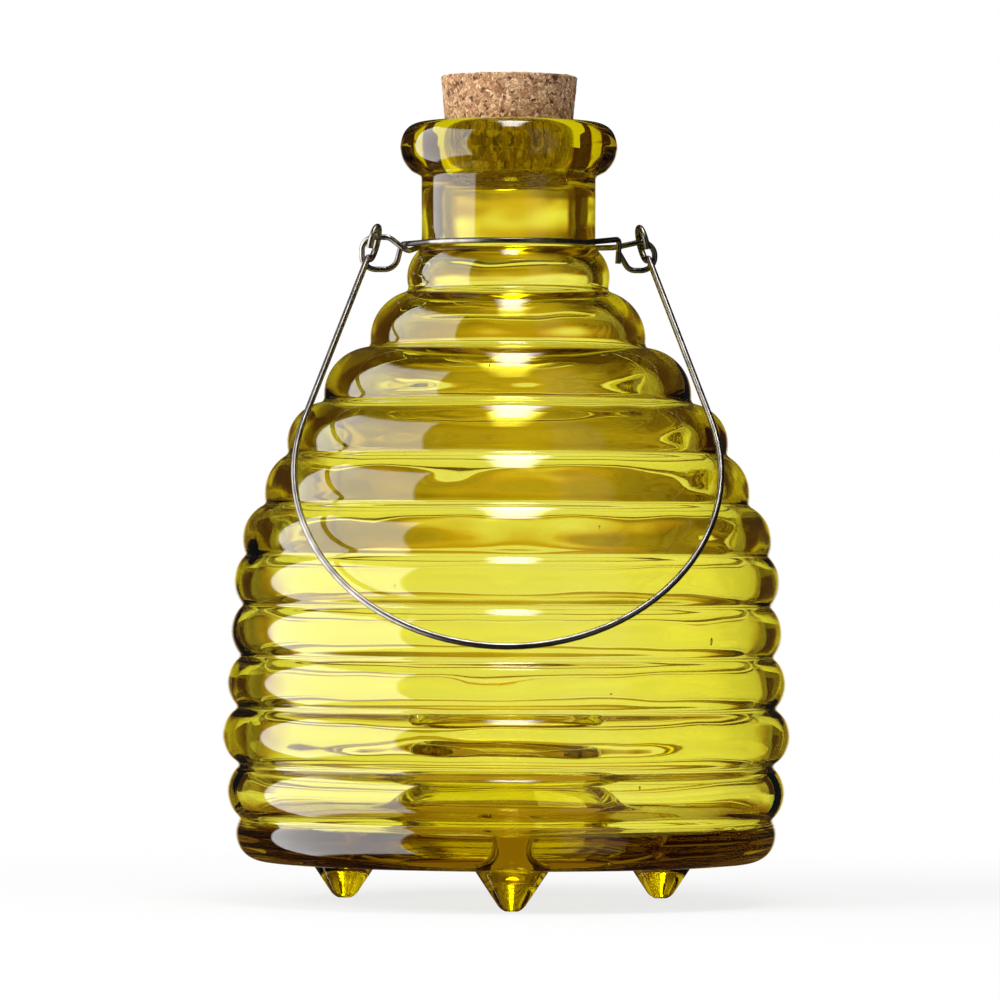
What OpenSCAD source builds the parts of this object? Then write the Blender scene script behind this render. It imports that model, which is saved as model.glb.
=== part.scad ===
// Hanging glass fly trap: a ribbed beehive vessel on three feet, with a way in
// through its base, a cork in its mouth, and a wire bail linked to a neck wire.
// Millimetres, +Z up. The origin is on the vessel's axis, where the feet stand.

/* [Glass ribs] */
// Crest radius of the four lowest ribs, from the base up
rib_r_low = [66.7, 68.8, 70, 68.9]; // [55:0.1:85]
// Crest radius of the four middle ribs
rib_r_mid = [68, 67.3, 65.3, 59.9]; // [50:0.1:85]
// Crest radius of the four highest ribs
rib_r_top = [54.5, 45.5, 34.1, 25.1]; // [22:0.1:65]
// Height from the lowest rib's crest to each of the next three crests
rib_z_low = [10.3, 24.1, 37]; // [8:0.1:45]
// Height from the lowest rib's crest to each of the four middle crests
rib_z_mid = [49.5, 61.9, 72.2, 83.5]; // [40:0.1:95]
// Height from the lowest rib's crest to each of the four highest crests
rib_z_top = [95.9, 107.7, 121.5, 136.8]; // [85:0.1:150]
// Rounding radius of the four lowest ribs
rib_round_low = [6.9, 8.4, 8, 8.2]; // [5:0.1:12]
// Rounding radius of the four middle ribs
rib_round_mid = [8.9, 8.9, 9.5, 11.2]; // [7:0.1:14]
// Rounding radius of the four highest ribs
rib_round_top = [10.4, 12.1, 12.5, 9.7]; // [8:0.1:15]

/* [Glass walls] */
// Thickness of the blown wall
wall = 4; // [2.5:0.1:4.6]
// Thickness of the flat base
base_t = 4.4; // [3:0.1:7]
// Height of the base above the ground
foot_h = 10.1; // [7:0.1:16]

/* [Neck and lip] */
// Outside radius of the neck
neck_r = 21.6; // [19:0.1:23]
// Length of the neck, from the highest rib's crest to the middle of the lip
neck_len = 31.7; // [26:0.1:40]
// Outside radius of the lip
lip_r = 26.9; // [25:0.1:30]
// Rounding radius of the lip
lip_round = 6.8; // [5.5:0.1:8]
// Rounding radius of the lip's fuller upper edge
lip_crown_round = 4.6; // [3.5:0.1:5]
// Height of the lip's upper edge rounding above the middle of the lip
lip_crown_rise = 2; // [1.2:0.1:2.6]
// How far the lip's upper edge lies inside the lip's outside radius
lip_crown_in = 0.4; // [0.2:0.05:0.8]
// Height below the cork over which the neck narrows to the mouth
throat_h = 4; // [3:0.1:6]

/* [Fly entry] */
// Radius of the way in, at the base
entry_r = 27; // [18:0.1:29]
// Radius of the way in, at its upper rim
entry_rim_r = 20; // [12:0.1:22]
// Height of the entry's rim above the base
entry_h = 24.6; // [14:0.1:34]
// Thickness of the entry's wall
entry_t = 4; // [3:0.1:5]
// Radius of the rolled rim of the entry
entry_rim_round = 2.3; // [2.1:0.1:3]
// Rounding radius of the entry's lower edge
entry_edge_round = 3; // [2.4:0.1:3.2]

/* [Feet] */
// Distance of each foot from the axis
foot_ring_r = 45.6; // [42:0.1:48]
// Half angle of a foot's cone
foot_half_angle = 33.7; // [28:0.1:36]
// Rounding radius of a foot's tip
foot_nose_r = 4.2; // [3.2:0.1:4.8]
// Depth of the flat on a foot's tip
foot_flat = 0.3; // [0.2:0.05:0.6]
// Angle of the front foot round the axis, from +X
foot_front_angle = -88.2; // [-100:0.1:-80]

/* [Cork] */
// Radius of the cork's top
cork_r = 17.1; // [15.5:0.1:18]
// Height of the cork
cork_h = 24.3; // [20:0.1:28]
// Height of the cork that stands out of the lip
cork_out = 11.5; // [8:0.1:14]
// Taper of the cork, in radius lost per millimetre of height
cork_taper = 0.09; // [0.06:0.005:0.11]
// Width of the bevel round the cork's ends
cork_bevel = 0.7; // [0.3:0.1:1.2]
// Gap between the cork and the mouth
cork_gap = 0.3; // [0.2:0.05:0.6]

/* [Neck wire] */
// Diameter of the neck wire
neck_wire_d = 1.4; // [1:0.1:1.5]
// Gap between the neck wire and the glass
neck_wire_gap = 0.1; // [0.05:0.01:0.3]
// Height of the front wire above the lowest place that the neck wire could take
front_lift = 0.5; // [0.3:0.05:0.7]
// Height of the back wire above that place
back_lift = 0.2; // [0.1:0.05:0.3]
// Angle up to which the wire touches the neck, either side of front and back
hug = 54; // [50:1:56]
// The same angle at the back left, where the wire passes under the front wire
hug_far = 70; // [68:1:72]
// Distance from the wire round the neck to an eye's inner side
eye_off = 5; // [4.9:0.05:5.2]
// Distance of the eyes' outer side from the axis
eye_out = 36.1; // [36:0.1:37]
// Height of an eye, from its lower to its upper run
eye_h = 7.8; // [7.6:0.1:8.6]
// Rounding radius of an eye
eye_round = 3.4; // [3:0.1:3.6]
// Height of an eye's upper run above the wire round the neck
eye_rise = 2.1; // [1.9:0.1:2.4]
// How far an eye's lower run lies behind its upper run
eye_lean = 2; // [1.6:0.1:2.4]
// Length of the turned-down end of the front wire
tail_len = 6; // [3:0.1:7]

/* [Bail] */
// Diameter of the bail's wire
bail_wire_d = 1.6; // [1.2:0.1:1.7]
// Distance between the rings' middles
bail_span = 66.4; // [66:0.1:66.6]
// Length of the bail, from its pivot to the bottom of its bow
bail_reach = 119.8; // [108:0.1:126]
// Radius of the bow
bow_r = 51.4; // [44:0.1:54]
// Radius of the end rings, at the middle of the wire
bail_ring_r = 4.1; // [3.9:0.05:4.2]
// Turn of the wire round an end ring
bail_ring_turn = 305; // [280:1:312]
// Bend radius between an arm and its ring
ring_bend = 1.6; // [1.4:0.1:1.9]
// Height of an eye's upper run above the pivot
pivot_drop = 1.4; // [1:0.05:1.6]
// Distance of the pivot in front of an eye's upper run
pivot_front = 0.6; // [0.4:0.05:0.8]
// Gap between the resting bail and the glass
bail_gap = 0.3; // [0.2:0.05:0.6]

/* [Hidden] */
$fn = 128;

glass_tint = [0.84, 0.76, 0.16, 0.45];
cork_tint = [0.74, 0.57, 0.40];
wire_tint = [0.28, 0.27, 0.26];

// The base dips this far above the lowest rib and the entry's lower edge
base_hollow = 0.05;
// An inner ridge behind a groove is rounder than the wall by this much
ridge_extra = 0.1;
// Straight wire is thinner than a bend by this much and runs into it by pin_in
pin_step = 0.01;
pin_in = 0.1;

// All ribs in one list, from the base up: crest radius, crest height, rounding
rib_r = concat(rib_r_low, rib_r_mid, rib_r_top);
rib_round = concat(rib_round_low, rib_round_mid, rib_round_top);
rib_z0 = foot_h + rib_round[0] - base_hollow;
rib_z = [for (rise = concat([0], rib_z_low, rib_z_mid, rib_z_top)) rib_z0 + rise];
rib_last = len(rib_r) - 1;

// Middle of a rib's rounding, in the half plane of radius and height
function rib_middle(i) = [rib_r[i] - rib_round[i], rib_z[i]];

// Outer meeting point of two circles, the one farther from the axis
function circles_meet(a, ra, b, rb) =
  let (
    span = norm(b - a),
    along = (ra * ra - rb * rb + span * span) / (2 * span),
    aside = sqrt(max(0, ra * ra - along * along)),
    dir = (b - a) / span
  )
  a + along * dir + aside * [dir[1], -dir[0]];

// Groove between rib i and the rib above it
function groove(i) =
  circles_meet(rib_middle(i), rib_round[i], rib_middle(i + 1), rib_round[i + 1]);

neck_in_r = neck_r - wall;
floor_z = foot_h + base_t;
lip_z = rib_z[rib_last] + neck_len;
lip_middle = [lip_r - lip_round, lip_z];
crown_middle = [lip_r - lip_crown_in - lip_crown_round, lip_z + lip_crown_rise];
lip_top = max(lip_z + lip_round, crown_middle[1] + lip_crown_round);

cork_top = lip_top + cork_out;
cork_bottom = cork_top - cork_h;
function cork_r_at(z) = cork_r - cork_taper * (cork_top - z);
function mouth_r_at(z) = cork_r_at(z) + cork_gap;

entry_edge = [entry_r + entry_edge_round, foot_h - base_hollow + entry_edge_round];
entry_rim = [entry_rim_r + entry_t / 2, foot_h + entry_h];

// The three feet stand evenly round the axis
foot_step = 360 / 3;

// Shape

module rib_circles(less) {
  for (i = [0 : rib_last])
    translate(rib_middle(i))
      circle(r = rib_round[i] - less);
}

// Solid outline of the vessel, filled to the axis
module vessel_outline() {
  rib_circles(0);
  polygon(concat(
    [[0, foot_h], [rib_middle(0)[0], foot_h]],
    [for (i = [0 : rib_last]) rib_middle(i)],
    [[0, rib_z[rib_last]]]
  ));
  translate([0, rib_z[rib_last]])
    square([neck_r, neck_len]);
  translate(lip_middle)
    circle(r = lip_round);
  translate(crown_middle)
    circle(r = lip_crown_round);
}

// Inside of the ribs: their circles less the wall, joined up to each groove and
// cut back by a ridge as thick as the wall round that groove
module ribs_inside() {
  difference() {
    union() {
      rib_circles(wall);
      polygon(concat(
        [[0, floor_z]],
        [[rib_middle(0)[0], floor_z]],
        [rib_middle(0)],
        [for (i = [0 : rib_last - 1]) each [groove(i), rib_middle(i + 1)]],
        [[0, rib_z[rib_last]]]
      ));
    }
    for (i = [0 : rib_last - 1])
      translate(groove(i))
        circle(r = wall + ridge_extra);
    square([max(rib_r), floor_z]);
  }
}

// Inside of the neck, and the tapered mouth that takes the cork
module neck_inside() {
  low = rib_z[rib_last];
  throat = cork_bottom - throat_h;
  high = lip_top + wall;
  polygon([
    [0, low],
    [neck_in_r, low],
    [neck_in_r, throat],
    [mouth_r_at(cork_bottom), cork_bottom],
    [mouth_r_at(high), high],
    [0, high]
  ]);
}

// Wall of the way in, from its rounded lower edge to its rolled rim
module entry_wall() {
  translate(entry_edge)
    circle(r = entry_edge_round);
  polygon([
    [entry_r + base_hollow, entry_edge[1]],
    [entry_edge[0] + entry_edge_round, entry_edge[1]],
    [entry_rim_r + entry_t, entry_rim[1]],
    [entry_rim_r, entry_rim[1]]
  ]);
  translate(entry_rim)
    circle(r = entry_rim_round);
}

module glass_vessel() {
  color(glass_tint)
    rotate_extrude() {
      difference() {
        vessel_outline();
        ribs_inside();
        neck_inside();
        square([entry_edge[0], floor_z + wall]);
      }
      entry_wall();
    }
}

// One foot: a cone with a rounded tip, flat where it stands
module foot(turn) {
  apex_z = foot_nose_r - foot_flat - foot_nose_r / sin(foot_half_angle);
  top_r = (foot_h - apex_z) * tan(foot_half_angle);
  nose_z = foot_nose_r - foot_flat;
  nose_edge = [foot_nose_r * cos(foot_half_angle), nose_z - foot_nose_r * sin(foot_half_angle)];
  color(glass_tint)
    rotate([0, 0, turn])
      translate([foot_ring_r, 0, 0])
        rotate_extrude()
          intersection() {
            union() {
              polygon([[0, nose_edge[1]], nose_edge, [top_r, foot_h], [0, foot_h]]);
              translate([0, nose_z])
                circle(r = foot_nose_r + base_hollow);
            }
            square([top_r, foot_h]);
          }
}

module foot_front() {
  foot(foot_front_angle);
}

module foot_rear_right() {
  foot(foot_front_angle + foot_step);
}

module foot_rear_left() {
  foot(foot_front_angle + 2 * foot_step);
}

module cork_stopper() {
  low = cork_bottom + cork_bevel;
  high = cork_top - cork_bevel;
  color(cork_tint)
    rotate_extrude()
      polygon([
        [0, cork_bottom],
        [cork_r_at(cork_bottom) - cork_bevel, cork_bottom],
        [cork_r_at(low), low],
        [cork_r_at(high), high],
        [cork_r - cork_bevel, cork_top],
        [0, cork_top]
      ]);
}

// Wire

function unit(v) = v / norm(v);
// Angle a wire turns through at corner b of the line a, b, c
function turn_at(a, b, c) = acos(unit(b - a) * unit(c - b));
// Length of each leg that a bend of radius bend takes up at that corner
function leg_at(a, b, c, bend) = bend * tan(turn_at(a, b, c) / 2);

// Part of a ring of wire: from the point middle - inward * bend, setting off along go
module wire_bend(middle, inward, go, bend, turn, wire_r) {
  side = cross(go, inward);
  multmatrix([
    [-inward[0], go[0], side[0], middle[0]],
    [-inward[1], go[1], side[1], middle[1]],
    [-inward[2], go[2], side[2], middle[2]],
    [0, 0, 0, 1]
  ])
    rotate_extrude(angle = turn)
      translate([bend, 0])
        circle(r = wire_r);
}

// Straight wire from a to b, running into the bend at either end by in_a and in_b
module wire_run(a, b, wire_r, in_a, in_b) {
  go = unit(b - a);
  lie = abs(go[2]) > steep ? [1, 0, 0] : [0, 0, 1];
  across = unit(cross(lie, go));
  up = cross(go, across);
  start = a - in_a * go;
  multmatrix([
    [across[0], up[0], go[0], start[0]],
    [across[1], up[1], go[1], start[1]],
    [across[2], up[2], go[2], start[2]],
    [0, 0, 0, 1]
  ])
    cylinder(r = wire_r - pin_step, h = norm(b - a) + in_a + in_b);
}

// Wire bent along a line of corners, each with its own bend radius, whose ends run
// into other wire by in_first and in_last
module bent_wire(corners, bends, wire_r, in_first, in_last) {
  last = len(corners) - 1;
  for (i = [1 : last - 1]) {
    a = corners[i - 1];
    b = corners[i];
    c = corners[i + 1];
    go = unit(b - a);
    leave = unit(c - b);
    inward = unit(leave - go * (leave * go));
    middle = b - go * leg_at(a, b, c, bends[i - 1]) + inward * bends[i - 1];
    wire_bend(middle, inward, go, bends[i - 1], turn_at(a, b, c), wire_r);
  }
  for (i = [0 : last - 1]) {
    a = corners[i];
    b = corners[i + 1];
    go = unit(b - a);
    cut_a = i == 0 ? 0 : leg_at(corners[i - 1], a, b, bends[i - 1]);
    cut_b = i == last - 1 ? 0 : leg_at(a, b, corners[i + 2], bends[i]);
    in_a = i == 0 ? in_first : pin_in;
    in_b = i == last - 1 ? in_last : pin_in;
    wire_run(a + go * cut_a, b - go * cut_b, wire_r, in_a, in_b);
  }
}

// The neck wire lies in the corner between the neck and the highest rib
neck_wire_r = neck_wire_d / 2;
collar_r = neck_r + neck_wire_r + neck_wire_gap;
shoulder_reach = rib_round[rib_last] + neck_wire_r + neck_wire_gap;
shoulder_side = collar_r - rib_middle(rib_last)[0];
collar_z = rib_z[rib_last] + sqrt(pow(shoulder_reach, 2) - pow(shoulder_side, 2));
front_z = collar_z + front_lift;
back_z = collar_z + back_lift;
// After leaving the neck the wire runs level for this far, then slopes to its eye
level_run = 1.5;
slope_bend = 8;

// Heights of an eye's two runs, and the distance of its inner side from the axis
eye_top = collar_z + eye_rise;
eye_low = eye_top - eye_h;
eye_in = collar_r + eye_off;
// Left crossing: the front wire turns down behind the strand that comes from the
// eye's upper run and dips under the front wire on its way to the back
turn_down_y = 1.7;
turn_down_top = 1;
turn_down_low = -0.5;
turn_down_bend = 1.4;
strand_y = -2;
strand_z = collar_z - 1.4;
strand_start = -2;
strand_start_y = strand_y + 0.7;
strand_end = 2.5;
strand_bends = [3, 2];
// Right crossing: the front wire's turned-down end hooks in front of it
tail_y = -1.7;
tail_z = eye_top - 0.3;
tail_top = -0.1;
tail_low = -0.4;
tail_low_y = tail_y + 0.2;
tail_bend = 1.1;
// The back wire rises to the right eye's upper run
rise_start = -1;
rise_y = 0.9;
rise_z = collar_z - 0.1;
rise_bend = 3;
// The right eye's end comes back up and stops behind the crossing
eye_end_low = 2.4;
eye_end = -0.1;
eye_end_y = 0.5;
eye_end_z = collar_z - 1.6;
eye_end_bend = 2.6;
// A wire steeper than this lies by the X axis, and any other by the Z axis
steep = 0.9;

// Point of the wire on the neck at an angle from +X
function on_neck(turn, z) = [collar_r * cos(turn), collar_r * sin(turn), z];
// Level point past it, going the way way = 1 (anticlockwise) or -1
function off_neck(turn, z, way) =
  on_neck(turn, z) + way * level_run * [-sin(turn), cos(turn), 0];

module neck_wire() {
  front_right = -90 + hug;
  front_left = -90 - hug;
  back_right = 90 - hug;
  back_left = 90 + hug_far;
  front_end = [
    on_neck(front_right, front_z),
    off_neck(front_right, front_z, 1),
    [eye_in + tail_top, tail_y, tail_z],
    [eye_in + tail_low, tail_low_y, tail_z - tail_len]
  ];
  left_eye = [
    on_neck(front_left, front_z),
    off_neck(front_left, front_z, -1),
    [-eye_in + turn_down_top, turn_down_y, front_z],
    [-eye_in + turn_down_low, turn_down_y, eye_low],
    [-eye_out, eye_lean, eye_low],
    [-eye_out, 0, eye_top],
    [-eye_in + strand_start, strand_start_y, eye_top],
    [-eye_in + strand_end, strand_y, strand_z],
    off_neck(back_left, back_z, 1),
    on_neck(back_left, back_z)
  ];
  right_eye = [
    on_neck(back_right, back_z),
    off_neck(back_right, back_z, -1),
    [eye_in + rise_start, rise_y, rise_z],
    [eye_out, 0, eye_top],
    [eye_out, eye_lean, eye_low],
    [eye_in + eye_end_low, eye_lean, eye_low],
    [eye_in + eye_end, eye_end_y, eye_end_z]
  ];
  left_bends = concat(
    [slope_bend, turn_down_bend, eye_round, eye_round, eye_round],
    strand_bends,
    [slope_bend]
  );
  right_bends = [slope_bend, rise_bend, eye_round, eye_round, eye_end_bend];
  color(wire_tint) {
    neck_arc(front_left, front_right, front_z);
    neck_arc(back_right, back_left, back_z);
    bent_wire(front_end, [slope_bend, tail_bend], neck_wire_r, pin_in, 0);
    bent_wire(left_eye, left_bends, neck_wire_r, pin_in, pin_in);
    bent_wire(right_eye, right_bends, neck_wire_r, pin_in, 0);
  }
}

// Wire that lies against the neck between two angles
module neck_arc(from, to, z) {
  inward = [-cos(from), -sin(from), 0];
  go = [-sin(from), cos(from), 0];
  wire_bend([0, 0, z], inward, go, collar_r, to - from, neck_wire_r);
}

// The bail hangs on its rings and rests on the ribs in front
bail_wire_r = bail_wire_d / 2;
pivot = [0, -pivot_front, eye_top - pivot_drop];
bow_s = bail_reach - bow_r;
half_span = bail_span / 2;
arm_spread = asin(bow_r / norm([half_span, bow_s])) - atan2(half_span, bow_s);
// Each ring is centred on its arm: the arm ends ring_drop short of the ring's middle
// and turns aside by ring_lead, then a short straight leads into the ring
ring_link = 0.3;
ring_reach = norm([bail_ring_r + ring_bend, ring_link]);
ring_lead = acos(ring_bend / ring_reach) - atan2(ring_link, bail_ring_r + ring_bend);
ring_drop = sqrt(pow(ring_reach, 2) - pow(ring_bend, 2));

// Direction down the bail, when it leans this far forward
function bail_down(lean) = [0, -sin(lean), -cos(lean)];
// Point of the bow at an angle from its bottom
function bow_point(lean, t) =
  pivot
  + [bow_r * sin(t), 0, 0]
  + (bow_s + bow_r * cos(t)) * bail_down(lean);

// Point of an arm, a share k of the way from its ring's middle to the bow
function arm_point(lean, k) =
  (1 - k) * (pivot + [half_span, 0, 0]) + k * bow_point(lean, 90 + arm_spread);

// Distance between the wire at point p and the nearest rib, filled to the axis
function clear_of_ribs(p) =
  min([
    for (i = [0 : rib_last])
      let (off = [norm([p[0], p[1]]), p[2]] - rib_middle(i))
      norm([max(0, off[0]), off[1]]) - rib_round[i] - bail_wire_r
  ]);
bow_step = 2;
arm_step = 0.05;
function bail_clear(lean) =
  min(concat(
    [for (t = [0 : bow_step : 90 + arm_spread]) clear_of_ribs(bow_point(lean, t))],
    [for (k = [0 : arm_step : 1]) clear_of_ribs(arm_point(lean, k))]
  ));
// Smallest lean between low and high at which the bail is bail_gap off the glass
function resting_lean(low, high, steps) =
  steps == 0 ? high
  : bail_clear((low + high) / 2) > bail_gap
    ? resting_lean(low, (low + high) / 2, steps - 1)
    : resting_lean((low + high) / 2, high, steps - 1);
lean_least = 20;
lean_most = 85;
lean_steps = 22;
bail_lean = resting_lean(lean_least, lean_most, lean_steps);

module bail_handle() {
  down = bail_down(bail_lean);
  back = [0, cos(bail_lean), -sin(bail_lean)];
  bow_middle = pivot + bow_s * down;
  color(wire_tint) {
    for (side = [-1, 1]) {
      ring_middle = pivot + [side * half_span, 0, 0];
      arm = side * sin(arm_spread) * [1, 0, 0] + cos(arm_spread) * down;
      arm_top = ring_middle + ring_drop * arm;
      arm_end = bow_middle
        + bow_r * (side * cos(arm_spread) * [1, 0, 0] - sin(arm_spread) * down);
      ring_go = sin(ring_lead) * back - cos(ring_lead) * arm;
      ring_in = -sin(ring_lead) * arm - cos(ring_lead) * back;
      ring_start = ring_middle - bail_ring_r * ring_in;
      wire_run(arm_top, arm_end, bail_wire_r, pin_in, pin_in);
      wire_bend(arm_top + ring_bend * back, back, -arm, ring_bend, ring_lead, bail_wire_r);
      wire_run(ring_start - ring_link * ring_go, ring_start, bail_wire_r, pin_in, pin_in);
      wire_bend(ring_middle, ring_in, ring_go, bail_ring_r, bail_ring_turn, bail_wire_r);
    }
    first = cos(arm_spread) * [1, 0, 0] - sin(arm_spread) * down;
    go = sin(arm_spread) * [1, 0, 0] + cos(arm_spread) * down;
    wire_bend(bow_middle, -first, go, bow_r, 180 + 2 * arm_spread, bail_wire_r);
  }
}

glass_vessel();
foot_front();
foot_rear_left();
foot_rear_right();
cork_stopper();
neck_wire();
bail_handle();
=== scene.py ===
"""Glass fly trap, dressed over its CAD frame.

The glass is one blown body with its feet run in, the cork is turned and pitted,
and both wires are drawn along the paths of their CAD solids. Lengths in the size
classes of the pieces are millimetres, in the frame's own axes; the stage is in
metres, and angles are degrees.
"""

import logging
import math
from dataclasses import dataclass
from enum import Enum

import bpy
from mathutils import Matrix, Vector

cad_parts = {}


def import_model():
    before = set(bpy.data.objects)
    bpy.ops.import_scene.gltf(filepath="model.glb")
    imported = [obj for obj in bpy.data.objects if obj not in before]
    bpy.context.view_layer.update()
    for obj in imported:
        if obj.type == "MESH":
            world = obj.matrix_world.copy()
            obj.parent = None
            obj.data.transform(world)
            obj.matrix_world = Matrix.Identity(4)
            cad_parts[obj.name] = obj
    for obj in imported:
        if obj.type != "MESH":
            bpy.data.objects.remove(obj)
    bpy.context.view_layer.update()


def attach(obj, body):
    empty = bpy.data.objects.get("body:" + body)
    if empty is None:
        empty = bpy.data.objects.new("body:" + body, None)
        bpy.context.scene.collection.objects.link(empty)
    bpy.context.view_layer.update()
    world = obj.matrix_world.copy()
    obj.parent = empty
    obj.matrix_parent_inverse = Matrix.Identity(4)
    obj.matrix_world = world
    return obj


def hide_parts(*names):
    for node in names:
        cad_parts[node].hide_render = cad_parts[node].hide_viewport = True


LOG = logging.getLogger("fly_trap")
MM = 0.001
MERGE = 1e-6  # Vertices closer than this, in metres, become one.
SAME_POINT = 1e-3  # Outline points closer than this, in millimetres, are one.
SAME_PLACE = 0.02  # Wire points closer than this, in millimetres, are one.

Pair = tuple[float, float]
Triple = tuple[float, float, float]
Point = Pair
Tint = Triple
Colour = tuple[float, float, float, float]
Value = bpy.types.NodeSocket | float


class Slot(Enum):
    """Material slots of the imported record."""

    GLASS = "glass"
    CORK = "cork"
    WIRE = "wire"


class Body(Enum):
    """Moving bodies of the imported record."""

    VESSEL = "vessel"
    CORK = "cork"
    BAIL = "bail"


class Joining(Enum):
    """Ways in which another shape changes the glass."""

    RUN_IN = "UNION"
    PRESS_OUT = "DIFFERENCE"


# Drawing


class Outline:
    """A half section being drawn, as points of radius and height in millimetres."""

    def __init__(self, chord: float) -> None:
        """Starts an empty outline.

        Args:
            chord: Longest step between two points of an arc or line.
        """
        self.chord = chord
        self.points: list[Point] = []

    def to(self, r: float, z: float) -> None:
        """Draws a straight line to a point, in steps no longer than the chord.

        Args:
            r: Radius of the point.
            z: Height of the point.
        """
        if self.points:
            r0, z0 = self.points[-1]
            steps = max(1, math.ceil(math.hypot(r - r0, z - z0) / self.chord))
            for k in range(1, steps):
                self.points.append((r0 + (r - r0) * k / steps, z0 + (z - z0) * k / steps))
        self.points.append((r, z))

    def arc(self, middle: Point, radius: float, start: float, end: float) -> None:
        """Draws a line to an arc's start and then the arc.

        Args:
            middle: Middle of the arc.
            radius: Radius of the arc.
            start: Angle at which it starts.
            end: Angle at which it ends.
        """
        turn = math.radians(end - start)
        steps = max(2, math.ceil(abs(turn) * radius / self.chord))
        first = math.radians(start)
        self.to(middle[0] + radius * math.cos(first), middle[1] + radius * math.sin(first))
        for k in range(1, steps + 1):
            a = first + turn * k / steps
            self.points.append((middle[0] + radius * math.cos(a), middle[1] + radius * math.sin(a)))

    def mark(self) -> int:
        """Returns the index of the next point."""
        return len(self.points)

    def soften(self, start: int, end: int, passes: int) -> None:
        """Rounds corners by averaging each point with its neighbours.

        Args:
            start: Mark of the first point that moves.
            end: Mark just after the last point that moves.
            passes: How often the points are averaged.
        """
        for _ in range(passes):
            old = list(self.points)
            for i in range(start, end):
                (a, b), (c, d), (e, f) = old[i - 1], old[i], old[i + 1]
                self.points[i] = ((a + 2 * c + e) / 4, (b + 2 * d + f) / 4)

    def clean(self) -> None:
        """Drops points that lie on top of the one before."""
        kept: list[Point] = []
        for p in self.points:
            if not kept or math.dist(p, kept[-1]) > SAME_POINT:
                kept.append(p)
        self.points = kept


def angle_of(a: Point, b: Point) -> float:
    """Returns the direction from one point to another, in degrees."""
    return math.degrees(math.atan2(b[1] - a[1], b[0] - a[0]))


def meet(a: Point, ra: float, b: Point, rb: float, side: int = 1) -> Point:
    """Finds where two circles meet.

    Args:
        a: Middle of the first circle.
        ra: Radius of the first circle.
        b: Middle of the second circle.
        rb: Radius of the second circle.
        side: 1 for the right of the line from a to b, -1 for its left.

    Returns:
        The point where they meet on that side.
    """
    span = math.dist(a, b)
    along = (ra * ra - rb * rb + span * span) / (2 * span)
    aside = side * math.sqrt(max(0.0, ra * ra - along * along))
    u, v = (b[0] - a[0]) / span, (b[1] - a[1]) / span
    return a[0] + along * u + aside * v, a[1] + along * v - aside * u


def radians(angles: tuple[float, ...]) -> tuple[float, ...]:
    """Returns angles in radians."""
    return tuple(math.radians(a) for a in angles)


def clear_selection() -> None:
    """Leaves object mode and deselects everything."""
    if bpy.context.object and bpy.context.object.mode != "OBJECT":
        bpy.ops.object.mode_set(mode="OBJECT")
    bpy.ops.object.select_all(action="DESELECT")


def pick(*objects: bpy.types.Object) -> None:
    """Selects only some objects and makes the first one active.

    Args:
        objects: The objects to select.
    """
    clear_selection()
    for o in objects:
        o.select_set(True)
    bpy.context.view_layer.objects.active = objects[0]


def draw_chain(name: str, points: list[Vector], closed: bool = False) -> bpy.types.Object:
    """Draws a chain of edges by extruding one vertex from point to point.

    Args:
        name: Name of the new object.
        points: Places of the vertices, in metres.
        closed: Whether the last vertex is joined to the first.

    Returns:
        The new object, in edit mode.
    """
    clear_selection()
    bpy.ops.mesh.primitive_plane_add(size=MM)
    obj = bpy.context.object
    obj.name = name
    bpy.ops.object.mode_set(mode="EDIT")
    bpy.ops.mesh.select_mode(type="VERT")
    bpy.ops.mesh.merge(type="CENTER")
    bpy.ops.transform.translate(value=points[0])
    for a, b in zip(points, points[1:]):
        bpy.ops.mesh.extrude_region_move(TRANSFORM_OT_translate={"value": b - a})
    if closed:
        bpy.ops.object.mode_set(mode="OBJECT")
        for v in obj.data.vertices:
            v.select = v.index in (0, len(points) - 1)
        bpy.ops.object.mode_set(mode="EDIT")
        bpy.ops.mesh.edge_face_add()
    return obj


def close_mesh() -> None:
    """Merges the doubles of the mesh being edited, turns its faces outwards and leaves it."""
    bpy.ops.mesh.select_all(action="SELECT")
    bpy.ops.mesh.remove_doubles(threshold=MERGE)
    bpy.ops.mesh.normals_make_consistent(inside=False)
    bpy.ops.object.mode_set(mode="OBJECT")


def spin_up(steps: int) -> None:
    """Spins the chain being edited round the Z axis and closes its seam and poles.

    Args:
        steps: Number of steps in the full turn.
    """
    bpy.ops.mesh.select_all(action="SELECT")
    bpy.ops.mesh.spin(steps=steps, angle=math.tau, center=(0, 0, 0), axis=(0, 0, 1))
    close_mesh()


def half_plane(points: list[Point]) -> list[Vector]:
    """Returns outline points as places in the plane of X and Z, in metres."""
    return [Vector((r * MM, 0.0, z * MM)) for r, z in points]


def turn(obj: bpy.types.Object, degrees: float) -> None:
    """Turns an object's mesh round the Z axis."""
    obj.data.transform(Matrix.Rotation(math.radians(degrees), 4, "Z"))


def boolean(obj: bpy.types.Object, tool: bpy.types.Object, joining: Joining) -> None:
    """Applies a boolean with a tool object and deletes the tool.

    Args:
        obj: Object to change.
        tool: Object that is run in or pressed out.
        joining: Which of the two is done.
    """
    mod = obj.modifiers.new("boolean", "BOOLEAN")
    mod.operation = joining.value
    mod.solver = "EXACT"
    mod.object = tool
    pick(obj)
    bpy.ops.object.modifier_apply(modifier=mod.name)
    bpy.data.objects.remove(tool, do_unlink=True)


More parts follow.
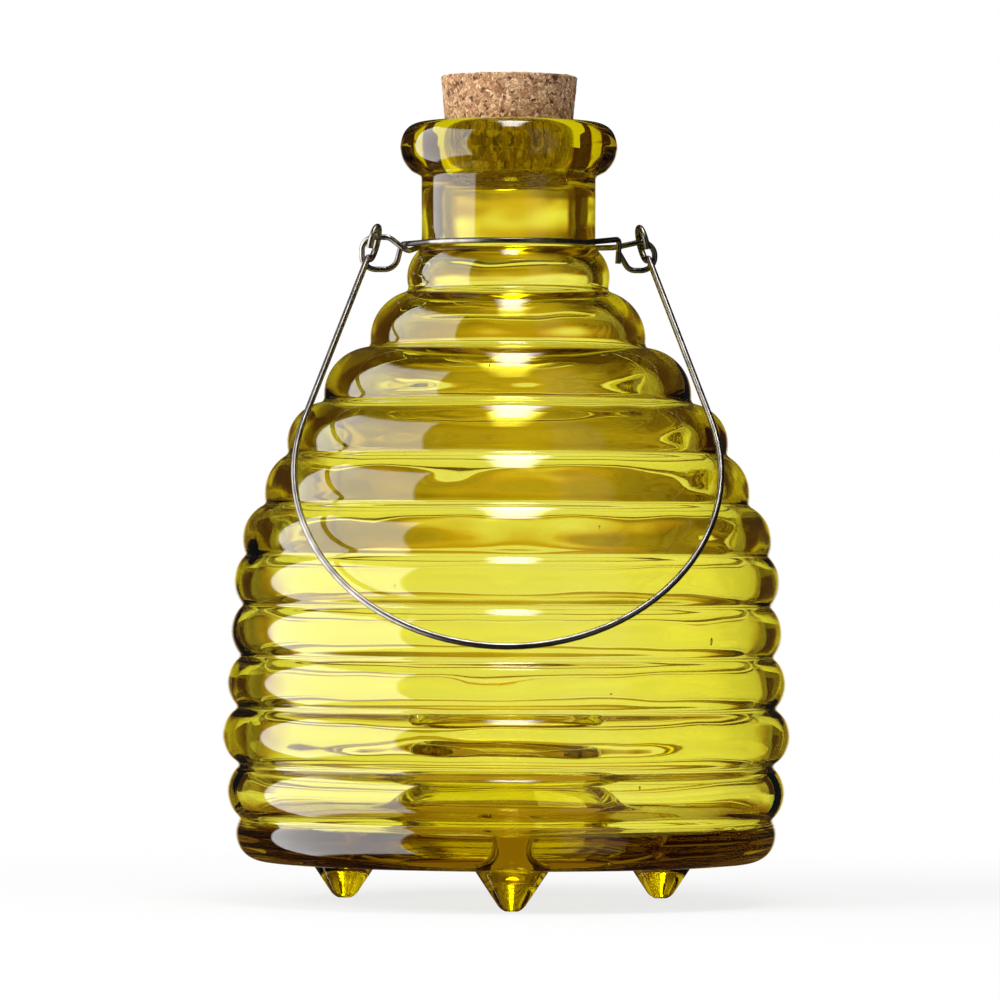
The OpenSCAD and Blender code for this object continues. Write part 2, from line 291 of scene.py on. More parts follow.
@dataclass(frozen=True)
class Ripple:
    """A soft unevenness of a surface, in millimetres.

    Attributes:
        size: Width of its waves.
        depth: Height from the lowest to the highest wave.
        flatten: Height of its waves as a share of their width.
        level: Share of the depth that stands out of the surface.
    """

    size: float
    depth: float
    flatten: float = 1.0
    level: float = 0.5

    def apply(self, obj: bpy.types.Object, group: str = "") -> None:
        """Presses the unevenness into an object.

        Args:
            obj: Object to change.
            group: Vertex group that is pressed; an empty name means the whole object.
        """
        tex = bpy.data.textures.new("ripple", "CLOUDS")
        tex.noise_scale = self.size * MM
        tex.noise_depth = 1
        bpy.ops.object.empty_add(location=(0, 0, 0))
        guide = bpy.context.object
        guide.scale = (1.0, 1.0, self.flatten)
        bpy.context.view_layer.update()
        mod = obj.modifiers.new("ripple", "DISPLACE")
        mod.texture = tex
        mod.texture_coords = "OBJECT"
        mod.texture_coords_object = guide
        mod.strength = self.depth * MM
        mod.mid_level = 1.0 - self.level
        mod.vertex_group = group
        pick(obj)
        bpy.ops.object.modifier_apply(modifier=mod.name)
        bpy.data.objects.remove(guide, do_unlink=True)
        bpy.data.textures.remove(tex)


def finish_mesh(obj: bpy.types.Object, crisp: float) -> None:
    """Shades an object smooth, with edges sharper than an angle kept crisp."""
    pick(obj)
    bpy.ops.object.shade_smooth_by_angle(angle=math.radians(crisp))


# Finishes


class NodeSketch:
    """A small helper that adds and joins shader nodes of one tree."""

    def __init__(self, tree: bpy.types.NodeTree) -> None:
        """Empties the tree and keeps it."""
        self.tree = tree
        tree.nodes.clear()

    def add(self, kind: str, **values: object) -> bpy.types.Node:
        """Adds a node and sets its properties and inputs.

        Args:
            kind: Blender's name for the kind of node.
            values: Values by property, or by input with _ for each space in its name.

        Returns:
            The new node.
        """
        node = self.tree.nodes.new(kind)
        for name, value in values.items():
            if hasattr(node, name):
                setattr(node, name, value)
            else:
                node.inputs[name.replace("_", " ")].default_value = value
        return node

    def join(self, out: bpy.types.NodeSocket, into: bpy.types.NodeSocket) -> None:
        """Joins an output to an input."""
        self.tree.links.new(out, into)

    def math(self, operation: str, a: Value, b: Value = 0.0) -> bpy.types.NodeSocket:
        """Adds a Math node.

        Args:
            operation: Blender's name for the operation.
            a: First input, a socket or a number.
            b: Second input, a socket or a number.

        Returns:
            The node's output.
        """
        node = self.tree.nodes.new("ShaderNodeMath")
        node.operation = operation
        for i, value in enumerate((a, b)):
            if isinstance(value, (int, float)):
                node.inputs[i].default_value = value
            else:
                self.join(value, node.inputs[i])
        return node.outputs[0]

    def times(self, a: Value, b: Value) -> bpy.types.NodeSocket:
        """Returns the product of two sockets or numbers."""
        return self.math("MULTIPLY", a, b)

    def between(self, share: Value, low: float, high: float) -> bpy.types.NodeSocket:
        """Returns a value that goes from low to high as a share goes from 0 to 1."""
        return self.math("ADD", self.times(share, high - low), low)

    def window(self, value: Value, low: float, high: float, soft: float) -> bpy.types.NodeSocket:
        """Makes a share that is 1 between two limits and fades out past them.

        Args:
            value: Value that is looked at.
            low: Lower limit.
            high: Upper limit.
            soft: Width of the fade at each limit.

        Returns:
            The share's socket.
        """
        up = self.step(value, low - soft / 2, low + soft / 2)
        down = self.step(value, high + soft / 2, high - soft / 2)
        return self.times(up, down)

    def step(self, value: Value, start: float, end: float) -> bpy.types.NodeSocket:
        """Makes a share that goes smoothly from 0 to 1.

        Args:
            value: Value that is looked at.
            start: Value where the share is 0.
            end: Value where the share is 1.

        Returns:
            The share's socket.
        """
        node = self.tree.nodes.new("ShaderNodeMapRange")
        node.interpolation_type = "SMOOTHSTEP"
        flip = start > end
        node.inputs["From Min"].default_value = min(start, end)
        node.inputs["From Max"].default_value = max(start, end)
        node.inputs["To Min"].default_value = 1.0 if flip else 0.0
        node.inputs["To Max"].default_value = 0.0 if flip else 1.0
        self.join(value, node.inputs["Value"])
        return node.outputs["Result"]

    def ramp(self, fac: Value, stops: tuple[tuple[float, Colour], ...]) -> bpy.types.NodeSocket:
        """Adds a colour ramp.

        Args:
            fac: Factor that picks the colour.
            stops: Place and colour of each stop.

        Returns:
            The colour's socket.
        """
        node = self.tree.nodes.new("ShaderNodeValToRGB")
        elements = node.color_ramp.elements
        while len(elements) < len(stops):
            elements.new(0.5)
        for element, (place, colour) in zip(elements, stops):
            element.position = place
            element.color = colour
        self.join(fac, node.inputs["Fac"])
        return node.outputs["Color"]


def new_material(name: str) -> tuple[bpy.types.Material, NodeSketch]:
    """Makes an empty material.

    Args:
        name: Name of the material.

    Returns:
        The material and the sketch of its node tree.
    """
    material = bpy.data.materials.new(name)
    material.use_nodes = True
    return material, NodeSketch(material.node_tree)


@dataclass(frozen=True)
class GlassFinish:
    """Clear yellow glass: colourless at its surface and coloured by its thickness.

    Attributes:
        absorb_colour: Colour that thick glass takes on.
        absorb_density: How soon it takes it on.
        ior: Index of refraction.
        smear: Roughness of the dullest smears.
        smear_scale: Fineness of the smears.
        smear_edge: Noise levels between which a smear fades in.
    """

    absorb_colour: Colour = (0.946, 0.926, 0.12, 1.0)
    absorb_density: float = 330.0
    ior: float = 1.5
    smear: float = 0.02
    smear_scale: float = 90.0
    smear_edge: Pair = (0.58, 0.8)

    def make(self) -> bpy.types.Material:
        """Makes the material.

        Returns:
            The new material.
        """
        material, net = new_material("yellow_glass")
        out = net.add("ShaderNodeOutputMaterial")
        bsdf = net.add(
            "ShaderNodeBsdfPrincipled",
            Base_Color=(1.0, 1.0, 1.0, 1.0),
            IOR=self.ior,
            Transmission_Weight=1.0,
        )
        coords = net.add("ShaderNodeTexCoord")
        smear = net.add("ShaderNodeTexNoise", Scale=self.smear_scale, Detail=3.0)
        net.join(coords.outputs["Object"], smear.inputs["Vector"])
        rough = net.step(smear.outputs["Fac"], *self.smear_edge)
        net.join(net.times(rough, self.smear), bsdf.inputs["Roughness"])
        absorb = net.add(
            "ShaderNodeVolumeAbsorption", Color=self.absorb_colour, Density=self.absorb_density
        )
        net.join(bsdf.outputs["BSDF"], out.inputs["Surface"])
        net.join(absorb.outputs["Volume"], out.inputs["Volume"])
        return material


@dataclass(frozen=True)
class CorkFinish:
    """Pressed cork: pale and reddish granules with dark gaps and specks between them.

    Attributes:
        granule: Fineness of the granules.
        speck: Fineness of the dark specks.
        dust: Fineness of the dust.
        warp: Fineness of the noise that bends the granules' edges.
        warp_share: Share of that noise in the coordinates.
        gap_edge: Distances from a granule's edge between which its gap fades.
        speck_edge: Noise levels between which a speck fades.
        dust_edge: Noise levels between which the dust fades.
        gap_light: Lightness left in a gap.
        dust_light: Lightness left under the dust.
        dark: Colour of gaps and specks.
        tones: Colours of the granules, from the rare dark ones to the palest.
        roughness: Roughness of the whole skin.
        bump: Strength and height of the skin's relief, the height in metres.
    """

    granule: float = 1000.0
    speck: float = 620.0
    dust: float = 1600.0
    warp: float = 500.0
    warp_share: float = 0.0012
    gap_edge: Pair = (0.0, 0.16)
    speck_edge: Pair = (0.34, 0.46)
    dust_edge: Pair = (0.25, 0.6)
    gap_light: float = 0.55
    dust_light: float = 0.65
    dark: Colour = (0.085, 0.03, 0.012, 1.0)
    tones: tuple[tuple[float, Colour], ...] = (
        (0.0, (0.25, 0.105, 0.045, 1.0)),
        (0.22, (0.46, 0.24, 0.115, 1.0)),
        (0.6, (0.61, 0.355, 0.18, 1.0)),
        (1.0, (0.80, 0.55, 0.32, 1.0)),
    )
    roughness: float = 0.85
    bump: Pair = (0.6, 0.0004)

    def make(self) -> bpy.types.Material:
        """Makes the material.

        Returns:
            The new material.
        """
        material, net = new_material("pressed_cork")
        out = net.add("ShaderNodeOutputMaterial")
        bsdf = net.add("ShaderNodeBsdfPrincipled", Roughness=self.roughness)
        coords = net.add("ShaderNodeTexCoord")
        warp = net.add("ShaderNodeTexNoise", Scale=self.warp, Detail=2.0)
        net.join(coords.outputs["Object"], warp.inputs["Vector"])
        shift = net.add("ShaderNodeMix", data_type="RGBA", blend_type="LINEAR_LIGHT")
        shift.inputs["Factor"].default_value = self.warp_share
        net.join(coords.outputs["Object"], shift.inputs["A"])
        net.join(warp.outputs["Color"], shift.inputs["B"])
        cells = net.add("ShaderNodeTexVoronoi", Scale=self.granule)
        edges = net.add("ShaderNodeTexVoronoi", feature="DISTANCE_TO_EDGE", Scale=self.granule)
        fine = net.add("ShaderNodeTexNoise", Scale=self.dust, Detail=4.0, Roughness=0.65)
        broad = net.add("ShaderNodeTexNoise", Scale=self.speck, Detail=3.0, Roughness=0.6)
        for node in (cells, edges, fine, broad):
            net.join(shift.outputs["Result"], node.inputs["Vector"])
        split = net.add("ShaderNodeSeparateColor")
        net.join(cells.outputs["Color"], split.inputs["Color"])
        tone = net.ramp(split.outputs["Red"], self.tones)
        gaps = net.step(edges.outputs["Distance"], *self.gap_edge)
        specks = net.step(broad.outputs["Fac"], *self.speck_edge)
        dust = net.step(fine.outputs["Fac"], *self.dust_edge)
        shade = net.times(net.between(gaps, self.gap_light, 1.0), specks)
        shade = net.times(shade, net.between(dust, self.dust_light, 1.0))
        dark = net.add("ShaderNodeMix", data_type="RGBA")
        dark.inputs["A"].default_value = self.dark
        net.join(shade, dark.inputs["Factor"])
        net.join(tone, dark.inputs["B"])
        net.join(dark.outputs["Result"], bsdf.inputs["Base Color"])
        strength, height = self.bump
        bump = net.add("ShaderNodeBump", Strength=strength, Distance=height)
        net.join(shade, bump.inputs["Height"])
        net.join(bump.outputs["Normal"], bsdf.inputs["Normal"])
        net.join(bsdf.outputs["BSDF"], out.inputs["Surface"])
        return material


@dataclass(frozen=True)
class SteelFinish:
    """Drawn steel wire: dark grey, with dull patches.

    Attributes:
        pale: Colour of the bright patches.
        dull: Colour of the dull patches.
        patch: Fineness of the patches.
        patch_edge: Noise levels of the dull and the bright colour.
        roughness: Roughness where the noise is 0 and where it is 1.
    """

    pale: Colour = (0.27, 0.25, 0.23, 1.0)
    dull: Colour = (0.14, 0.127, 0.115, 1.0)
    patch: float = 240.0
    patch_edge: Pair = (0.35, 0.65)
    roughness: Pair = (0.4, 0.24)

    def make(self) -> bpy.types.Material:
        """Makes the material.

        Returns:
            The new material.
        """
        material, net = new_material("drawn_steel")
        out = net.add("ShaderNodeOutputMaterial")
        bsdf = net.add("ShaderNodeBsdfPrincipled", Metallic=1.0)
        coords = net.add("ShaderNodeTexCoord")
        patch = net.add("ShaderNodeTexNoise", Scale=self.patch, Detail=4.0, Roughness=0.6)
        net.join(coords.outputs["Object"], patch.inputs["Vector"])
        stops = tuple(zip(self.patch_edge, (self.dull, self.pale)))
        net.join(net.ramp(patch.outputs["Fac"], stops), bsdf.inputs["Base Color"])
        rough = net.between(patch.outputs["Fac"], *self.roughness)
        net.join(rough, bsdf.inputs["Roughness"])
        net.join(bsdf.outputs["BSDF"], out.inputs["Surface"])
        return material


# Pieces of the trap


@dataclass
class Vessel:
    """The glass body: twelve ribs, neck, lip, base, way in and three feet, in one piece.

    Points are radius and height. A ring such as the lip's is the radius and height of
    its section's middle and the section's own radius.

    Attributes:
        crest_r: Radius of each rib's crest, from below.
        crest_z: Height of each rib's crest.
        rounding: Radius of each rib's section.
        wall: Thickness of the glass at the ribs.
        neck_wall: Thickness of the glass at the neck.
        groove: Radius of the small hollow between two ribs.
        neck_fillet: Radius of the hollows below and above the neck.
        floor_z: Height of the floor inside.
        neck_r: Outer radius of the neck.
        lip: Ring of the rolled lip.
        crown: Ring that makes the lip fuller at its top.
        mouth_top: Edge of the mouth.
        mouth_chamfer: Step inwards and down from that edge.
        mouth_low: Inside of the mouth, level with the cork's foot.
        throat_z: Height where the inside of the neck begins.
        lip_even: How often the lip's outline is softened.
        lip_keep: Points at the lip's foot that are not softened.
        mouth_even: How often the mouth's outline is softened.
        shoulder_turn: Part of the top rib's inside that is softened with the mouth.
        entry_edge: Ring of the way in's lower edge.
        entry_rim: Ring of its upper rim.
        entry_out: Lower and upper end of its outer wall.
        entry_in: Lower and upper end of its inner wall.
        entry_fillet: Radius where its wall meets the floor.
        foot_ring: Distance of the feet from the axis.
        foot_turns: Place of each foot round the axis.
        foot_angle: Half the angle of a foot's cone.
        foot_nose: Height of the nose's middle and the nose's radius.
        foot_fillet: Radius where a foot meets the base.
        foot_top: Height where a foot meets the base.
        foot_root: How far a foot runs into the base.
        foot_chord: Longest step of a foot's outline.
        foot_steps: Steps round a foot.
        dimple_r: Radius of the dimple in the floor over a foot.
        dimple_z: Height of its lowest point.
        dimple_lip: Radius of its rounded edge.
        dimple_head: How far its tool stands out of the floor.
        dimple_chord: Longest step of its outline.
        dimple_steps: Steps round it.
        even_all: How often the inside is softened, from below the top rib down.
        even_body: How often it is softened again, from one rib lower down.
        steps: Steps round the body.
        chord: Longest step of the body's outline.
        crisp: Angle past which an edge stays crisp.
        waves_in: Unevenness of the inside.
        waves_out: Unevenness of the outside.
        bubbles: Place round the axis, height, depth and radius of each bubble.
        bubble_stretch: Stretch of a bubble along each axis.
        bubble_detail: Subdivisions of a bubble.
    """

    crest_r: tuple[float, ...] = (
        66.7, 68.8, 70, 68.9, 68, 67.3, 65.3, 59.9, 54.5, 45.5, 34.1, 25.1
    )
    crest_z: tuple[float, ...] = (
        16.95, 27.25, 41.05, 53.95, 66.45, 78.85, 89.15, 100.45, 112.85, 124.65, 138.45, 153.75
    )
    rounding: tuple[float, ...] = (6.9, 8.4, 8, 8.2, 8.9, 8.9, 9.5, 11.2, 10.4, 12.1, 12.5, 9.7)
    wall: float = 4.0
    neck_wall: float = 4.9
    groove: float = 0.8
    neck_fillet: float = 1.0
    floor_z: float = 18.6
    neck_r: float = 21.6
    lip: Triple = (20.1, 185.45, 6.8)
    crown: Triple = (21.9, 187.45, 4.6)
    mouth_top: Point = (16.26, 191.06)
    mouth_chamfer: Pair = (0.1, 2.0)
    mouth_low: Point = (15.21, 179.45)
    throat_z: float = 175.45
    lip_even: int = 6
    lip_keep: int = 4
    mouth_even: int = 4
    shoulder_turn: float = 4.0
    entry_edge: Triple = (30.0, 13.05, 3.0)
    entry_rim: Triple = (22.0, 34.7, 2.3)
    entry_out: tuple[Point, Point] = ((33.0, 13.05), (24.0, 34.7))
    entry_in: tuple[Point, Point] = ((27.0, 13.05), (20.0, 34.7))
    entry_fillet: float = 8.0
    foot_ring: float = 45.6
    foot_turns: Triple = (-88.2, 31.8, 151.8)
    foot_angle: float = 33.7
    foot_nose: Pair = (3.9, 4.2)
    foot_fillet: float = 1.6
    foot_top: float = 10.12
    foot_root: float = 1.4
    foot_chord: float = 0.5
    foot_steps: int = 64
    dimple_r: float = 8.0
    dimple_z: float = 15.6
    dimple_lip: float = 2.5
    dimple_head: float = 2.0
    dimple_chord: float = 0.4
    dimple_steps: int = 48
    even_all: int = 10
    even_body: int = 30
    steps: int = 110
    chord: float = 0.75
    crisp: float = 50.0
    waves_in: tuple[Ripple, ...] = (
        Ripple(55.0, 1.0, 0.6),
        Ripple(22.0, 0.5, 0.5),
        Ripple(36.0, 0.07, 0.13),
        Ripple(13.0, 0.2, 0.55),
    )
    waves_out: tuple[Ripple, ...] = (Ripple(30.0, 0.25, 0.6, 0.0),)
    bubbles: tuple[tuple[float, float, float, float], ...] = (
        (-42.9, 65.0, 1.9, 0.55),
        (-108.0, 47.0, 2.2, 0.3),
        (-70.0, 92.0, 1.8, 0.28),
        (-131.0, 76.0, 2.1, 0.25),
        (-96.0, 131.0, 2.0, 0.3),
        (-62.0, 30.0, 1.7, 0.32),
        (64.0, 58.0, 2.0, 0.4),
        (118.0, 83.0, 2.2, 0.35),
    )
    bubble_stretch: Triple = (0.7, 0.7, 1.6)
    bubble_detail: int = 3

    def _middles(self) -> list[Point]:
        """Returns the middle of each rib's rounding."""
        return [(r - q, z) for r, q, z in zip(self.crest_r, self.rounding, self.crest_z)]

    def _fillets(self) -> list[Point]:
        """Returns the middle of the small hollow between each rib and the next."""
        mid, q, f = self._middles(), self.rounding, self.groove
        return [meet(mid[i], q[i] + f, mid[i + 1], q[i + 1] + f) for i in range(len(mid) - 1)]

    def _beside_neck(self, ring: Point, radius: float, side: int) -> Point:
        """Finds the middle of the hollow between the neck and a ring.

        Args:
            ring: Middle of the ring's section.
            radius: Radius of the ring's section.
            side: 1 for the hollow above the ring, -1 for the one below it.

        Returns:
            The hollow's middle.
        """
        r = self.neck_r + self.neck_fillet
        reach = radius + self.neck_fillet
        return r, ring[1] + side * math.sqrt(reach**2 - (r - ring[0]) ** 2)

    def _outside(self, line: Outline) -> None:
        """Draws the base, ribs, neck and lip from below to the mouth's edge.

        Args:
            line: Outline to draw on.
        """
        mid, hollows, last = self._middles(), self._fillets(), len(self.crest_r) - 1
        n = self.neck_fillet
        corner = self._beside_neck(mid[last], self.rounding[last], 1)
        start = -90.0
        for i, middle in enumerate(mid):
            hollow, f = (hollows[i], self.groove) if i < last else (corner, n)
            line.arc(middle, self.rounding[i], start, angle_of(middle, hollow))
            after = angle_of(hollow, mid[i + 1]) % 360 if i < last else 180.0
            line.arc(hollow, f, angle_of(hollow, middle) % 360, after)
            if i < last:
                start = angle_of(mid[i + 1], hollow)
        lip, lip_q = self.lip[:2], self.lip[2]
        crown, crown_q = self.crown[:2], self.crown[2]
        under = self._beside_neck(lip, lip_q, -1)
        line.arc(under, n, 180.0, angle_of(under, lip) % 360)
        low = meet(lip, lip_q, crown, crown_q)
        high = meet(lip, lip_q, crown, crown_q, -1)
        begin = line.mark()
        line.arc(lip, lip_q, angle_of(lip, under), angle_of(lip, low))
        line.arc(crown, crown_q, angle_of(crown, low), angle_of(crown, high))
        line.arc(lip, lip_q, angle_of(lip, high), angle_of(lip, self.mouth_top))
        inwards, down = self.mouth_chamfer
        line.to(self.mouth_top[0] - inwards, self.mouth_top[1] - down)
        line.soften(begin + self.lip_keep, line.mark() - 1, self.lip_even)

    def _inside(self, line: Outline) -> None:
        """Draws the mouth, neck, ribs and floor from above to the foot of the entry's wall.

        Args:
            line: Outline to draw on.
        """
        mid, hollows, last = self._middles(), self._fillets(), len(self.crest_r) - 1
        begin = line.mark()
        line.to(*self.mouth_low)
        neck_in = self.neck_r - self.neck_wall
        line.to(neck_in, self.throat_z)
        q = self.rounding[last] - self.wall
        start = math.degrees(math.acos((neck_in - mid[last][0]) / q))
        line.arc(mid[last], q, start, start - self.shoulder_turn)
        line.soften(begin, line.mark() - 1, self.mouth_even)
        start -= self.shoulder_turn
        for i in range(last, 0, -1):
            hollow, f = hollows[i - 1], self.groove + self.wall
            line.arc(mid[i], self.rounding[i] - self.wall, start, angle_of(mid[i], hollow))
            after = angle_of(hollow, mid[i - 1]) % 360
            line.arc(hollow, f, angle_of(hollow, mid[i]) % 360, after)
            start = angle_of(mid[i - 1], hollow)
            if i == last:
                ribs = line.mark() - 1
            if i == last - 1:
                body = line.mark() - 1
            if i == 2:
                line.soften(ribs, line.mark() - 1, self.even_all)
                line.soften(body, line.mark() - 1, self.even_body)
        q = self.rounding[0] - self.wall
        end = math.degrees(math.asin((self.floor_z - mid[0][1]) / q))
        line.arc(mid[0], q, start, end)

    def _entry(self, line: Outline) -> None:
        """Draws the entry's wall: up its outside, over its rim and down to the base.

        Args:
            line: Outline to draw on.
        """
        (r0, z0), (r1, z1) = self.entry_out
        size = math.hypot(r1 - r0, z1 - z0)
        nr, nz = (z1 - z0) / size, (r0 - r1) / size
        q = self.entry_fillet
        z = self.floor_z + q
        r = r0 + (q - (z - z0) * nz) / nr
        out_angle = math.degrees(math.atan2(nz, nr))
        line.arc((r, z), q, 270.0, 180.0 + out_angle)
        (r0, z0), (r1, z1) = self.entry_in
        in_angle = 180.0 + math.degrees(math.atan2(r0 - r1, z1 - z0))
        line.arc(self.entry_rim[:2], self.entry_rim[2], out_angle, in_angle)
        line.arc(self.entry_edge[:2], self.entry_edge[2], in_angle, 270.0)

    def _body(self) -> bpy.types.Object:
        """Spins the closed half section and makes it uneven, as blown glass is.

        Returns:
            The body, without its feet.
        """
        line = Outline(self.chord)
        self._outside(line)
        first_in = line.mark()
        self._inside(line)
        last_in = line.mark()
        self._entry(line)
        base_z = self.entry_edge[1] - self.entry_edge[2]
        line.to(self.crest_r[0] - self.rounding[0] - self.chord, base_z)
        marks = (line.points[first_in], line.points[last_in])
        line.clean()
        inside = range(line.points.index(marks[0]), line.points.index(marks[1]))
        obj = draw_chain("glass_body", half_plane(line.points), closed=True)
        bpy.ops.object.mode_set(mode="OBJECT")
        obj.vertex_groups.new(name="inside").add(list(inside), 1.0, "REPLACE")
        heights = enumerate(z for _, z in line.points)
        ribs = [i for i, z in heights if i < inside[0] and z < self.lip[1]]
        obj.vertex_groups.new(name="outside").add(ribs, 1.0, "REPLACE")
        bpy.ops.object.mode_set(mode="EDIT")
        spin_up(self.steps)
        for wave in self.waves_in:
            wave.apply(obj, "inside")
        for wave in self.waves_out:
            wave.apply(obj, "outside")
        return obj

    def _foot(self) -> bpy.types.Object:
        """Spins one foot on the axis: flat tip, round nose, cone and a hollow under the base.

        Returns:
            The foot.
        """
        nose_z, nose_r = self.foot_nose
        a = math.radians(self.foot_angle)
        line = Outline(self.foot_chord)
        line.to(0.0, 0.0)
        flat = -math.degrees(math.asin(nose_z / nose_r))
        line.arc((0.0, nose_z), nose_r, flat, -self.foot_angle)
        side = (nose_r * math.cos(a), nose_z - nose_r * math.sin(a))
        q = self.foot_fillet
        z = self.foot_top - q
        r = side[0] + (q + (z - side[1]) * math.sin(a)) / math.cos(a)
        line.arc((r, z), q, 180.0 - self.foot_angle, 90.0)
        line.to(r, self.foot_top + self.foot_root)
        line.to(0.0, self.foot_top + self.foot_root)
        line.clean()
        obj = draw_chain("foot", half_plane(line.points))
        spin_up(self.foot_steps)
        return obj

    def _dimple(self) -> bpy.types.Object:
        """Spins the dimple that the blown glass leaves in the floor over a foot.

        Returns:
            The shape that is pressed out of the floor.
        """
        line = Outline(self.dimple_chord)
        deep = self.floor_z - self.dimple_z
        bowl = (self.dimple_r**2 + deep**2) / (2 * deep)
        q = self.dimple_lip
        middle = (0.0, self.dimple_z + bowl)
        rim_z = self.floor_z - q
        rim = (math.sqrt((bowl + q) ** 2 - (middle[1] - rim_z) ** 2), rim_z)
        line.to(0.0, self.dimple_z)
        line.arc(middle, bowl, -90.0, angle_of(middle, rim))
        line.arc(rim, q, angle_of(rim, middle) % 360, 90.0)
        line.to(rim[0], self.floor_z + self.dimple_head)
        line.to(0.0, self.floor_z + self.dimple_head)
        line.clean()
        obj = draw_chain("dimple", half_plane(line.points))
        spin_up(self.dimple_steps)
        return obj

    def _three(self, one: bpy.types.Object) -> bpy.types.Object:
        """Sets an object at the first foot's place and copies it to the others.

        Args:
            one: Object on the axis.

        Returns:
            The three, joined into one object.
        """
        one.data.transform(Matrix.Translation((self.foot_ring * MM, 0, 0)))
        copies = [one]
        for place in self.foot_turns[1:]:
            pick(one)
            bpy.ops.object.duplicate()
            copy = bpy.context.object
            turn(copy, place)
            copies.append(copy)
        turn(one, self.foot_turns[0])
        pick(*copies)
        bpy.ops.object.join()
        return bpy.context.object

    def _add_bubbles(self, obj: bpy.types.Object) -> None:
        """Sets small bubbles into the wall, with their surfaces facing the bubble.

        Args:
            obj: The glass that takes the bubbles.
        """
        made = []
        for place, z, depth, radius in self.bubbles:
            a = math.radians(place)
            near = min(range(len(self.crest_z)), key=lambda i: abs(self.crest_z[i] - z))
            r = self.crest_r[near] - depth
            clear_selection()
            bpy.ops.mesh.primitive_ico_sphere_add(
                subdivisions=self.bubble_detail,
                radius=radius * MM,
                location=(r * math.cos(a) * MM, r * math.sin(a) * MM, z * MM),
            )
            ball = bpy.context.object
            bpy.ops.object.mode_set(mode="EDIT")
            bpy.ops.mesh.select_all(action="SELECT")
            bpy.ops.transform.resize(value=self.bubble_stretch)
            bpy.ops.mesh.normals_make_consistent(inside=True)
            bpy.ops.object.mode_set(mode="OBJECT")
            bpy.ops.object.transform_apply()
            made.append(ball)
        pick(obj, *made)
        bpy.ops.object.join()

    def build(self) -> bpy.types.Object:
        """Builds the glass.

        Returns:
            The finished mesh.
        """
        obj = self._body()
        boolean(obj, self._three(self._foot()), Joining.RUN_IN)
        boolean(obj, self._three(self._dimple()), Joining.PRESS_OUT)
        obj.vertex_groups.clear()
        self._add_bubbles(obj)
        finish_mesh(obj, self.crisp)
        return obj

    def dress(self, obj: bpy.types.Object, finish: GlassFinish) -> None:
        """Gives the glass its material and body, and hides the CAD nodes it stands for.

        Args:
            obj: The glass.
            finish: Its finish.
        """
        obj.name = "glass_body"
        obj.data.materials.clear()
        obj.data.materials.append(finish.make())
        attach(obj, Body.VESSEL.value)
        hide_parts("glass_vessel", "foot_front", "foot_rear_left", "foot_rear_right")


@dataclass
class Cork:
    """The cork: a tapered plug of pressed granules with a pitted skin.

    Attributes:
        top_r: Radius of its top.
        top_z: Height of its top.
        low_z: Height of its foot.
        taper: Loss of radius for each unit of height.
        bevel: Width of its broken edges.
        steps: Steps round it.
        chord: Longest step of its outline.
        crisp: Angle past which an edge stays crisp.
        pits: Unevenness of its skin.
    """

    top_r: float = 17.1
    top_z: float = 203.75
    low_z: float = 179.45
    taper: float = 0.09
    bevel: float = 0.5
    steps: int = 300
    chord: float = 0.36
    crisp: float = 60.0
    pits: tuple[Ripple, ...] = (
        Ripple(7.0, 0.12, 1.0, 0.0),
        Ripple(1.3, 0.3, 0.8, 0.0),
        Ripple(0.7, 0.22, 1.0, 0.0),
    )

    def build(self) -> bpy.types.Object:
        """Builds the cork.

        Returns:
            The finished mesh.
        """
        low_r = self.top_r - self.taper * (self.top_z - self.low_z)
        b = self.bevel
        line = Outline(self.chord)
        line.to(0.0, self.low_z)
        line.to(low_r - b, self.low_z)
        line.to(low_r, self.low_z + b)
        line.to(self.top_r, self.top_z - b)
        line.to(self.top_r - b, self.top_z)
        line.to(0.0, self.top_z)
        line.clean()
        obj = draw_chain("cork_plug", half_plane(line.points))
        spin_up(self.steps)
        for pit in self.pits:
            pit.apply(obj)
        finish_mesh(obj, self.crisp)
        return obj

    def dress(self, obj: bpy.types.Object, finish: CorkFinish) -> None:
        """Gives the cork its material and body, and hides its CAD node.

        Args:
            obj: The cork.
            finish: Its finish.
        """
        obj.data.materials.append(finish.make())
        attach(obj, Body.CORK.value)
        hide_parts("cork_stopper")


